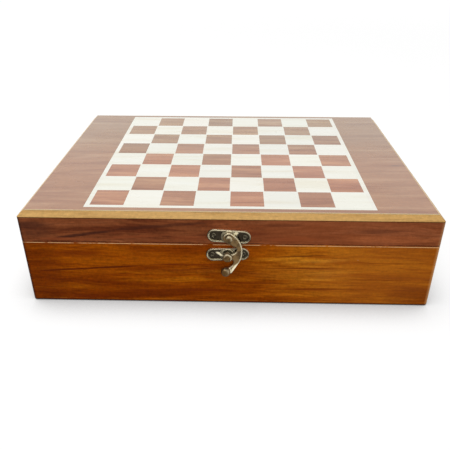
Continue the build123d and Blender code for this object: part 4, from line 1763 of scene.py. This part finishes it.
@dataclass(frozen=True)
class Linings:
    """The felt on the case's floor and under the lid's top, its free face dented and lower at the edges."""

    step: float = 4.0
    slack: float = 0.02
    dip: float = 0.14
    frayed: float = 0.35
    deep: Colour = shade(14, 56, 34)
    pale: Colour = shade(36, 96, 62)

    def build(self) -> None:
        """Makes both linings."""
        felt = FeltFinish("green_felt", self.deep, self.pale).material()
        self.sheet("floor_lining", "case", "case_floor_felt", 1, felt)
        self.sheet("lid_lining", "lid", "lid_felt", -1, felt)

    def sheet(self, name: str, body: str, node: str, side: int, felt: Finish) -> Thing:
        """Makes one lining.

        Args:
            name: The piece's name.
            body: The body it is glued to.
            node: The CAD node it stands for.
            side: 1 if its free face looks up, or -1 down.
            felt: Its finish.

        Returns:
            The lining.
        """
        low, high = corners_of(node)
        size = high - low
        glued = low.z if side > 0 else high.z
        seeded = random.Random(name)
        columns, rows = round(size.x / self.step), round(size.y / self.step)
        piece = Piece(name)
        index = piece.finish_index(felt)

        def grid(free: bool) -> list[list[Any]]:
            """Makes the corners of the glued face, or of the free one.

            Args:
                free: Whether it is the free face.

            Returns:
                The corners, row by row.
            """
            lines = []
            for j in range(rows + 1):
                line = []
                for i in range(columns + 1):
                    edge = i in (0, columns) or j in (0, rows)
                    sag = self.frayed if edge else seeded.uniform(self.slack, self.dip)
                    x, y = low.x + size.x * i / columns, low.y + size.y * j / rows
                    z = glued + side * (size.z - sag if free else 0.0)
                    line.append(piece.mesh.verts.new((x, y, z)))
                lines.append(line)
            return lines

        def patch(*corners: Any) -> None:
            """Makes one face."""
            piece.mesh.faces.new(corners).material_index = index

        under, over = grid(False), grid(True)
        for lines in (under, over):
            for near, far in zip(lines, lines[1:]):
                for n in range(columns):
                    patch(near[n], near[n + 1], far[n + 1], far[n])
        rim = [(0, i) for i in range(columns)] + [(j, columns) for j in range(rows)]
        rim += [(rows, columns - i) for i in range(columns)] + [(rows - j, 0) for j in range(rows)]
        for (j, i), (l, k) in zip(rim, rim[1:] + rim[:1]):
            patch(under[j][i], under[l][k], over[l][k], over[j][i])
        thing = piece.done(body, "felt_lining", [node], crease=60)
        return thing


# ------------------------------------------------------------------ hardware


@dataclass(frozen=True)
class CrossHead:
    """A cross-head screw: its turned profile, and its recess's height above the seat, reach and depth."""

    profile: Outline
    mouth: float
    reach: float
    width: float
    depth: float
    sides: int = 32
    foot: Spot = (0.35, 0.6)

    def drive(self, name: str, body: str, slot: str, node: str, seats: Seats, finish: Finish) -> None:
        """Makes a group of screws.

        Args:
            name: The piece's name.
            body: The body it rides on.
            slot: The record's material slot.
            node: The CAD node it stands for.
            seats: The screws' seats, each with the angle its recess is left at.
            finish: Its finish.
        """
        piece, cutter = Piece(name), Piece(name + "_cut")
        for seat, turn in seats:
            piece.turn(self.profile, finish, seat, self.sides)
            mouth = seat @ Matrix.Translation((0, 0, self.mouth)) @ Matrix.Rotation(turn, 4, "Z")
            for quarter in (0, math.pi / 2):
                cutter.loft(self.slot_rings(), finish, mouth @ Matrix.Rotation(quarter, 4, "Z"))
        carve(piece.done(body, slot, [node]), cutter.thing())

    def slot_rings(self) -> list[list[Point]]:
        """Gives the sections of one arm of the recess, narrow at its foot.

        Returns:
            The sections, from the foot up.
        """
        rings = []
        for height, along, across in ((-self.depth, *self.foot), (0.0, 1.0, 1.0), (self.depth, 1.0, 1.0)):
            x, y = self.reach * along, self.width * across
            rings.append([(-x, -y, height), (x, -y, height), (x, y, height), (-x, y, height)])
        return rings


@dataclass(frozen=True)
class Latch:
    """The swing-hook latch: plates, hook, rivet, post and cross-head screws."""

    tilt: float = -3.5
    catch_tilt: float = 2.0
    screw_spacing: float = 21.2
    screw_seat: float = 0.9
    screw_turns: Spot = (0.35, 0.9)
    catch_screw_turns: Spot = (1.1, 0.2)
    shank: float = 0.9
    length: float = 4.0
    head: float = 2.1
    brim: float = 0.2
    dome: float = 0.7
    sunk_below: float = 1.25
    # place and slope of the painted highlight on the hook's lower arm
    arm: Spot = (4.2, -23.0)
    arm_highlight_slope: float = 1.4
    knob_shade: Spot = (-2.8, -25.9)
    # places of the painted highlights on the boss and on the raised slope left of the post
    boss_glint: Spot = (4.8, 3.0)
    dish_glint: Spot = (-5.4, 0.4)
    dish_glint_slope: float = -0.45
    bright: Colour = shade(255, 244, 208)
    tarnish: Colour = shade(84, 58, 26)
    plate_tones: tuple[Colour, Colour] = (shade(110, 101, 80), shade(42, 34, 25))
    hook_tones: tuple[Colour, Colour] = (shade(122, 98, 64), shade(52, 38, 24))
    pin_tones: tuple[Colour, Colour] = (shade(104, 82, 50), shade(54, 40, 26))
    screw_tones: tuple[Colour, Colour, Colour] = (shade(56, 49, 38), shade(32, 26, 19), shade(180, 170, 140))

    def build(self) -> None:
        """Dresses the castings and makes the screws."""
        self.castings()
        # the screws take painted light and shade by side, as the other metal does
        dark = MetalFinish("dark_screw_bronze", *self.screw_tones, edge=0.25, side_light=0.5).material()
        profile = [(self.shank, -self.length), (self.shank, 0.0), (self.head, 0.0), (self.head, self.brim)]
        profile += [(self.head * 0.93, 0.42), (self.head * 0.72, 0.6), (self.head * 0.35, self.dome)]
        screw = CrossHead(profile, self.dome, reach=1.15, width=0.26, depth=0.45)
        upper = self.seats("hook_rivet", self.tilt, self.screw_turns)
        lower = self.seats("catch_post", self.catch_tilt, self.catch_screw_turns)
        screw.drive("latch_plate_cross_screws", "lid", "screw_bronze", "latch_plate_screws", upper, dark)
        screw.drive("catch_plate_cross_screws", "case", "screw_bronze", "catch_plate_screws", lower, dark)

    def castings(self) -> None:
        """Dresses the plates, the hook and the pins, with painted highlights on the hook's arm, on the boss
        and by the post, and painted light and shade by side.
        """
        rivet, post = middle_of("hook_rivet"), middle_of("catch_post")

        def near(pin: Vector, offset: Spot) -> Spot:
            """Gives the spot on the front at an offset from a pin."""
            return pin.x + offset[0], pin.z + offset[1]

        # painted highlight on the hook's lower arm
        arm = Mark(near(rivet, self.arm), 5.5, 1.6, self.bright, 0.95, self.arm_highlight_slope, ragged=0.2)
        knob = Mark(near(rivet, self.knob_shade), 3.0, 3.0, self.tarnish, 0.9, ragged=0.3)
        # painted highlight on the boss's upper right edge
        boss = Mark(near(rivet, self.boss_glint), 1.8, 1.6, self.bright, 0.85, ragged=0.6)
        # painted highlight on the raised slope of the plate left of the post
        dish = Mark(
            near(post, self.dish_glint), 3.2, 1.2, self.bright, 0.85, self.dish_glint_slope, ragged=0.7
        )
        # each casting takes painted light and shade by side at its own strength
        plates = MetalFinish(
            "plate_bronze", *self.plate_tones, self.bright,
            edge=0.6, wear=0.9, side_light=0.75, sunk_below=self.sunk_below, marks=(dish, boss),
        ).material()
        hook = MetalFinish(
            "hook_bronze", *self.hook_tones, self.bright, edge=1.9, side_light=0.25, marks=(knob, arm)
        ).material()
        pins = MetalFinish("pin_bronze", *self.pin_tones, self.bright, edge=1.6, side_light=0.45).material()
        dress(plates, "latch_plate", "catch_plate")
        dress(hook, "swing_hook")
        dress(pins, "hook_rivet", "catch_post")

    def seats(self, pin: str, tilt: float, turns: Spot) -> Seats:
        """Finds the screws' seats on the plate that a pin stands on.

        Args:
            pin: The pin's node.
            tilt: The plate's lean in degrees.
            turns: The angles the two recesses are left at.

        Returns:
            The two seats, each with its Z pointing out of the board, and their angles.
        """
        middle = middle_of(pin)
        out = Matrix.Rotation(math.pi / 2, 4, "X")
        leaning = Matrix.Rotation(math.radians(tilt), 4, "Z")
        plate = Matrix.Translation((middle.x, -FRONT, middle.z)) @ out @ leaning
        seats = []
        for side, turn in zip((-1, 1), turns):
            seat = Matrix.Translation((side * self.screw_spacing / 2, 0, self.screw_seat))
            seats.append((plate @ seat, turn))
        return seats


@dataclass(frozen=True)
class Hinges:
    """The two butt hinges and their countersunk screws."""

    spacing: float = 15.0
    leaf_gap: float = 0.3
    shank: float = 0.75
    length: float = 6.0
    head: float = 1.3
    first_turn: float = 0.5
    next_turn: float = 1.1
    tones: tuple[Colour, Colour, Colour] = (shade(176, 142, 78), shade(120, 92, 50), shade(228, 200, 130))

    def build(self) -> None:
        """Dresses leaves and pins, and makes the screws."""
        # the brass takes painted light and shade by side at the default strength
        brass = MetalFinish("butt_hinge_brass", *self.tones, roughness=0.3, edge=0.25).material()
        for side in ("left", "right"):
            dress(brass, f"{side}_hinge_case_leaf", f"{side}_hinge_lid_leaf", f"{side}_hinge_pin")
        profile = [(self.shank, -self.length), (self.shank, -0.55), (self.head, -0.06)]
        profile += [(1.22, -0.02), (0.6, -0.01)]
        screw = CrossHead(profile, 0.0, reach=0.75, width=0.16, depth=0.3, sides=28)
        for name, up in (("case", -1), ("lid", 1)):
            node = f"{name}_hinge_screws"
            screw.drive(f"{name}_leaf_screws", name, "hinge_brass", node, self.seats(node, up), brass)

    def seats(self, node: str, up: int) -> Seats:
        """Finds the four screws' seats in the case's leaves, or in the lid's.

        Args:
            node: The CAD node of the screws.
            up: 1 if they point up into the lid, or -1.

        Returns:
            The seats and the angles their recesses are left at.
        """
        flip = Matrix.Rotation(math.pi if up > 0 else 0.0, 4, "X")
        y, z = middle_of(node).y, SEAM + up * self.leaf_gap / 2
        seats = []
        for n in range(4):
            hinge = middle_of(("left_hinge_pin", "right_hinge_pin")[n // 2])
            x = hinge.x + (-1, 1)[n % 2] * self.spacing / 2
            seats.append((Matrix.Translation((x, y, z)) @ flip, self.first_turn + self.next_turn * n))
        return seats


# ------------------------------------------------------------------ games


class Side(Enum):
    """One side of a game, by its colour."""

    DARK = "dark"
    LIGHT = "light"


@dataclass(frozen=True)
class WoodenMen:
    """The chessmen and draughts of one side."""

    side: Side
    pale: Colour
    middle: Colour
    dark: Colour

    def build(self) -> None:
        """Dresses the men."""
        name = self.side.value
        wood = WoodFinish(
            f"{name}_men_timber", Grain.FRONT_TO_BACK, self.pale, self.middle, self.dark,
            fineness=2.6, wander=3, fibre=0.5, pores=0.35, roughness=0.3, gloss=0.4, specks=0.0, rounding=0.3,
        ).material()
        men = ("pawns", "rooks", "knights", "bishops", "queen", "king", "draughts")
        dress(wood, *[f"{name}_{man}" for man in men])


def pip_places(count: int, pitch: float) -> list[Spot]:
    """Gives the places of the pips on a square face, as on dice and dominoes.

    Args:
        count: How many pips it has.
        pitch: How far they stand from each other.

    Returns:
        The pips' places, about the middle of the face.
    """
    corners = [(-1, -1), (1, 1), (-1, 1), (1, -1)]
    places = corners[: count - count % 2]
    if count % 2:
        places.append((0, 0))
    if count == 6:
        places += [(0, -1), (0, 1)]
    return [(u * pitch, v * pitch) for u, v in places]


@dataclass(frozen=True)
class DominoSet:
    """Twenty-eight dominoes in a square of stacks, the top four face up."""

    length: float = 38.0
    width: float = 19.0
    thickness: float = 4.8
    corner: float = 1.0
    ease: float = 0.45
    gap: float = 0.6
    air: float = 0.02
    nudge: float = 0.2
    layers: int = 7
    pip_pitch: float = 4.6
    pip: Outline = ((0.3, -0.5), (0.9, -0.42), (1.3, -0.2), (1.5, 0.4))     # radius, height
    groove: Spot = (0.25, 7.5)
    groove_depth: float = 0.3
    proud: float = 0.5
    faces: tuple[tuple[int, int], ...] = ((6, 4), (3, 5), (2, 6), (1, 3))

    def build(self) -> None:
        """Makes the tiles and carves the faces of those on top."""
        ivory = ResinFinish("domino_ivory", shade(236, 228, 204), shade(226, 214, 184)).material()
        black = ResinFinish("pip_black", shade(24, 22, 22), shade(34, 32, 30), 0.3).material()
        piece, cutter = Piece("domino_tiles"), Piece("domino_cut")
        middle, floor = middle_of("dominoes"), corners_of("dominoes")[0].z
        seeded = random.Random(28)
        outline = rounded_outline(self.length, self.width, self.corner, 3)
        stacks = [(i, j) for i in (-1, 1) for j in (-1, 1)]
        for stack, (i, j) in enumerate(stacks):
            x = middle.x + i * (self.length + self.gap) / 2
            y = middle.y + j * (self.width + self.gap) / 2
            for level in range(self.layers):
                low = floor + level * self.thickness
                strays = [seeded.uniform(-self.nudge, self.nudge) for _ in range(2)]
                place = Matrix.Translation((x + strays[0], y + strays[1], 0))
                span = low + self.air, low + self.thickness - self.air
                piece.slab(outline, span, ivory, place, self.ease)
            top = Matrix.Translation((0, 0, floor + self.layers * self.thickness - self.air))
            self.face(cutter, place @ top, self.faces[stack], black)
        tiles = piece.done("case", "domino_body", ["dominoes"])
        carve(tiles, cutter.thing(), 30)

    def face(self, cutter: Piece, place: Matrix, pair: tuple[int, int], black: Finish) -> None:
        """Adds one face to the cutter.

        Args:
            cutter: The cutter.
            place: The middle of the face.
            pair: The pips on its two ends.
            black: The paint in the pips and the centre groove.
        """
        x, y = self.groove
        outline = [(-x, -y), (x, -y), (x, y), (-x, y)]
        cutter.slab(outline, (-self.groove_depth, self.proud), black, place)
        for half, count in zip((-1, 1), pair):
            for u, v in pip_places(count, self.pip_pitch):
                spot = place @ Matrix.Translation((half * self.length / 4 + u, v, 0))
                cutter.turn(self.pip, black, spot, 16)


@dataclass(frozen=True)
class CardPack:
    """A squared-up pack of cards, each card a little out of line."""

    name: str
    node: str
    ink: Colour
    cards: int = 54
    corner: float = 3.5
    play: float = 0.8
    askew: float = 0.12
    twist: float = 0.001
    lift: float = 0.01
    fullness: float = 0.88

    def build(self) -> None:
        """Makes the cards."""
        low, high = corners_of(self.node)
        size, middle = high - low, middle_of(self.node)
        stock = CardFinish(self.name, self.ink, middle, size)
        edge, back = stock.edge_material(), stock.back_material()
        piece = Piece(self.name)
        seeded = random.Random(self.node)
        outline = rounded_outline(size.x - self.play, size.y - self.play, self.corner, 4)
        pitch = size.z / self.cards
        for n in range(self.cards):
            x, y = middle.x + seeded.gauss(0, self.askew), middle.y + seeded.gauss(0, self.askew)
            turn = Matrix.Rotation(seeded.gauss(0, self.twist), 4, "Z")
            foot = low.z + n * pitch
            span = foot + self.lift, foot + pitch * self.fullness
            piece.slab(outline, span, edge, Matrix.Translation((x, y, 0)) @ turn)
        piece.mesh.faces.ensure_lookup_table()
        top = max(piece.mesh.faces, key=lambda f: f.calc_center_median().z)
        top.material_index = piece.finish_index(back)
        piece.done("case", "card_stock", [self.node], crease=60)


@dataclass(frozen=True)
class DiceSet:
    """Five dice with sunk pips."""

    side: float = 13.0
    pitch: float = 18.5
    corner: float = 1.6
    rounding: Outline = ((1, 1.5), (0.97, 0.85), (0.88, 0.3), (0.75, 0.0))  # share of the height, inset
    pip_pitch: float = 3.2
    pip: Outline = ((0.3, -0.5), (0.8, -0.4), (1.1, -0.15), (1.3, 0.4))     # radius, height
    turns: tuple[float, ...] = (8.0, -21.0, 34.0, -6.0, 17.0)
    tops: tuple[int, ...] = (6, 3, 5, 2, 4)

    def build(self) -> None:
        """Makes the dice, each resting on another face."""
        ivory = ResinFinish("dice_ivory", shade(240, 234, 216), shade(232, 222, 196), 0.15).material()
        black = ResinFinish("dice_pips", shade(20, 20, 22), shade(30, 30, 32), 0.3).material()
        piece, cutter = Piece("pip_dice"), Piece("dice_cut")
        middle = middle_of("dice")
        for n, (turn, top) in enumerate(zip(self.turns, self.tops)):
            x = middle.x + (n - (len(self.turns) - 1) / 2) * self.pitch
            spin = Matrix.Rotation(math.radians(turn), 4, "Z")
            tip = self.faces()[top].transposed()
            self.die(piece, cutter, Matrix.Translation((x, middle.y, middle.z)) @ spin @ tip, ivory, black)
        dice = piece.done("case", "dice_body", ["dice"], crease=50)
        carve(dice, cutter.thing(), 30)

    @staticmethod
    def faces() -> dict[int, Matrix]:
        """Gives the turn that brings the top of a die to each of its faces, by pips.

        Returns:
            The turns.
        """
        quarters = {1: (0, "X"), 6: (2, "X"), 2: (-1, "X"), 5: (1, "X"), 3: (1, "Y"), 4: (-1, "Y")}
        return {n: Matrix.Rotation(turn * math.pi / 2, 4, axis) for n, (turn, axis) in quarters.items()}

    def die(self, piece: Piece, cutter: Piece, place: Matrix, ivory: Finish, black: Finish) -> None:
        """Adds one die.

        Args:
            piece: The dice so far.
            cutter: The cutters of their pips so far.
            place: Where the die lies. Before it is placed, its 1 is up.
            ivory: The die's finish.
            black: The paint in its pips.
        """
        half = self.side / 2
        rings = []
        for z, inset in [(-z, inset) for z, inset in self.rounding] + list(reversed(self.rounding)):
            size = self.side - 2 * inset
            rings.append([(u, v, z * half) for u, v in rounded_outline(size, size, self.corner, 4)])
        piece.loft(rings, ivory, place)
        for count, face in self.faces().items():
            for u, v in pip_places(count, self.pip_pitch):
                cutter.turn(self.pip, black, place @ face @ Matrix.Translation((u, v, half)), 14)


# ------------------------------------------------------------------ studio


@dataclass(frozen=True)
class Softbox:
    """A rectangular lamp, and whether it is mirrored in the lacquer."""

    name: str
    place: Point
    size: Spot
    power: float
    mirrored: bool

    def hang(self, target: Point) -> None:
        """Hangs the lamp and turns it to face a target.

        Args:
            target: The target's place, in metres.
        """
        light = bpy.data.lights.new(self.name, "AREA")
        light.shape, light.size, light.size_y, light.energy = "RECTANGLE", *self.size, self.power
        thing = link(self.name, light)
        away = Vector(target) - Vector(self.place)
        thing.location, thing.rotation_euler = self.place, away.to_track_quat("-Z", "Y").to_euler()
        thing.visible_glossy = self.mirrored


@dataclass(frozen=True)
class Studio:
    """The pale floor, the soft lights and the camera, in metres and degrees."""

    camera_place: Point = (0.00529, -0.40589, 0.23253)
    camera_turn: Point = (60.666, 0.036, 1.523)
    lens: float = 41.185
    sensor: float = 36.0
    clip: Spot = (0.01, 50.0)
    box_middle: Point = (0.0, 0.0, 0.03)
    ambient: float = 0.5
    floor_reach: float = 4.0
    floor_tone: float = 0.20
    floor_glow: float = 0.84
    far_glow: float = 1.09
    far: Spot = (0.7, 2.5)
    # depth and reach of the painted shadow close round the box on the floor
    contact_shadow: float = 0.95
    contact_shadow_reach: float = 0.036
    lamps: tuple[Softbox, ...] = (
        Softbox("overhead_softbox", (-0.45, -0.05, 1.55), (1.5, 1.2), 14.5, mirrored=True),
        Softbox("front_fill", (0.35, -1.5, 0.75), (1.2, 0.8), 4.0, mirrored=False),
    )

    def build(self) -> None:
        """Sets up everything round the box."""
        self.world()
        self.floor()
        for lamp in self.lamps:
            lamp.hang(self.box_middle)
        self.camera()
        bpy.context.scene.view_settings.view_transform = "Standard"

    @staticmethod
    def seen(desk: NodeDesk) -> Socket:
        """Finds the rays that show the backdrop: from the camera, off gloss or through glass.

        Args:
            desk: The desk of the material or the world.

        Returns:
            1 for these rays and 0 for the others.
        """
        path = desk.add("LightPath").outputs
        seen = desk.math("MAXIMUM", path["Is Camera Ray"], path["Is Glossy Ray"])
        return desk.math("MAXIMUM", seen, path["Is Transmission Ray"])

    def world(self) -> None:
        """Makes a white surround that lights the box only moderately."""
        world = bpy.data.worlds.new("studio")
        bpy.context.scene.world = world
        desk = cleared(world)
        light, white = desk.add("Background"), desk.add("Background")
        desk.fill(light, {"Color": WHITE, "Strength": self.ambient})
        desk.fill(white, {"Color": WHITE, "Strength": 1.0})
        mix, output = desk.add("MixShader"), desk.add("OutputWorld")
        for socket, value in zip(mix.inputs, (self.seen(desk), light.outputs[0], white.outputs[0])):
            desk.feed(socket, value)
        desk.feed(output.inputs["Surface"], mix.outputs[0])

    def floor(self) -> None:
        """Makes a floor that is white where it is seen and keeps the box's shadow, with a painted shadow
        close round the box where it meets the floor.
        """
        data = bpy.data.meshes.new("studio_floor")
        reach = self.floor_reach
        corners = [(-reach, -reach, 0), (reach, -reach, 0), (reach, reach, 0), (-reach, reach, 0)]
        data.from_pydata(corners, [], [(0, 1, 2, 3)])
        material = bpy.data.materials.new("studio_floor")
        data.materials.append(material)
        desk = cleared(material)
        matt, glow, both = desk.add("BsdfDiffuse"), desk.add("Emission"), desk.add("AddShader")
        # painted shadow close round the box: the floor's glow dims where the box is near
        near = desk.add("AmbientOcclusion", samples=8)
        desk.feed(near.inputs["Distance"], self.contact_shadow_reach)
        open_sky = desk.step(near.outputs["AO"], 0.0, 1.0, 1.0 - self.contact_shadow, 1.0)
        away = desk.step(desk.vector("LENGTH", desk.place()), *self.far, 1.0, self.far_glow)
        strength = desk.times(open_sky, away, self.floor_glow, self.seen(desk))
        desk.feed(matt.inputs["Color"], [self.floor_tone] * 3)
        desk.fill(glow, {"Color": WHITE, "Strength": strength})
        for socket, shader in zip(both.inputs, (matt, glow)):
            desk.feed(socket, shader.outputs[0])
        desk.feed(desk.add("OutputMaterial").inputs["Surface"], both.outputs[0])
        link("studio_floor", data)

    def camera(self) -> None:
        """Places the camera a little above the front of the box."""
        data = bpy.data.cameras.new("camera")
        data.lens, data.sensor_width = self.lens, self.sensor
        data.clip_start, data.clip_end = self.clip
        thing = link("camera", data)
        thing.location = self.camera_place
        thing.rotation_euler = [math.radians(turn) for turn in self.camera_turn]
        bpy.context.scene.camera = thing


def main() -> None:
    """Builds every sub-assembly in order."""
    logging.basicConfig(level=logging.INFO, format="%(message)s")
    parts = (
        CaseShell(),
        Dividers(),
        Lid(),
        Linings(),
        Latch(),
        Hinges(),
        WoodenMen(Side.DARK, shade(112, 62, 36), shade(84, 42, 24), shade(50, 24, 14)),
        WoodenMen(Side.LIGHT, shade(232, 202, 150), shade(220, 186, 130), shade(186, 146, 92)),
        DominoSet(),
        CardPack("red_back_cards", "lower_card_pack", shade(150, 28, 30)),
        CardPack("blue_back_cards", "upper_card_pack", shade(28, 52, 120)),
        DiceSet(),
        Studio(),
    )
    for part in parts:
        LOG.info("building %s", type(part).__name__)
        part.build()


if __name__ == "__main__":
    main()
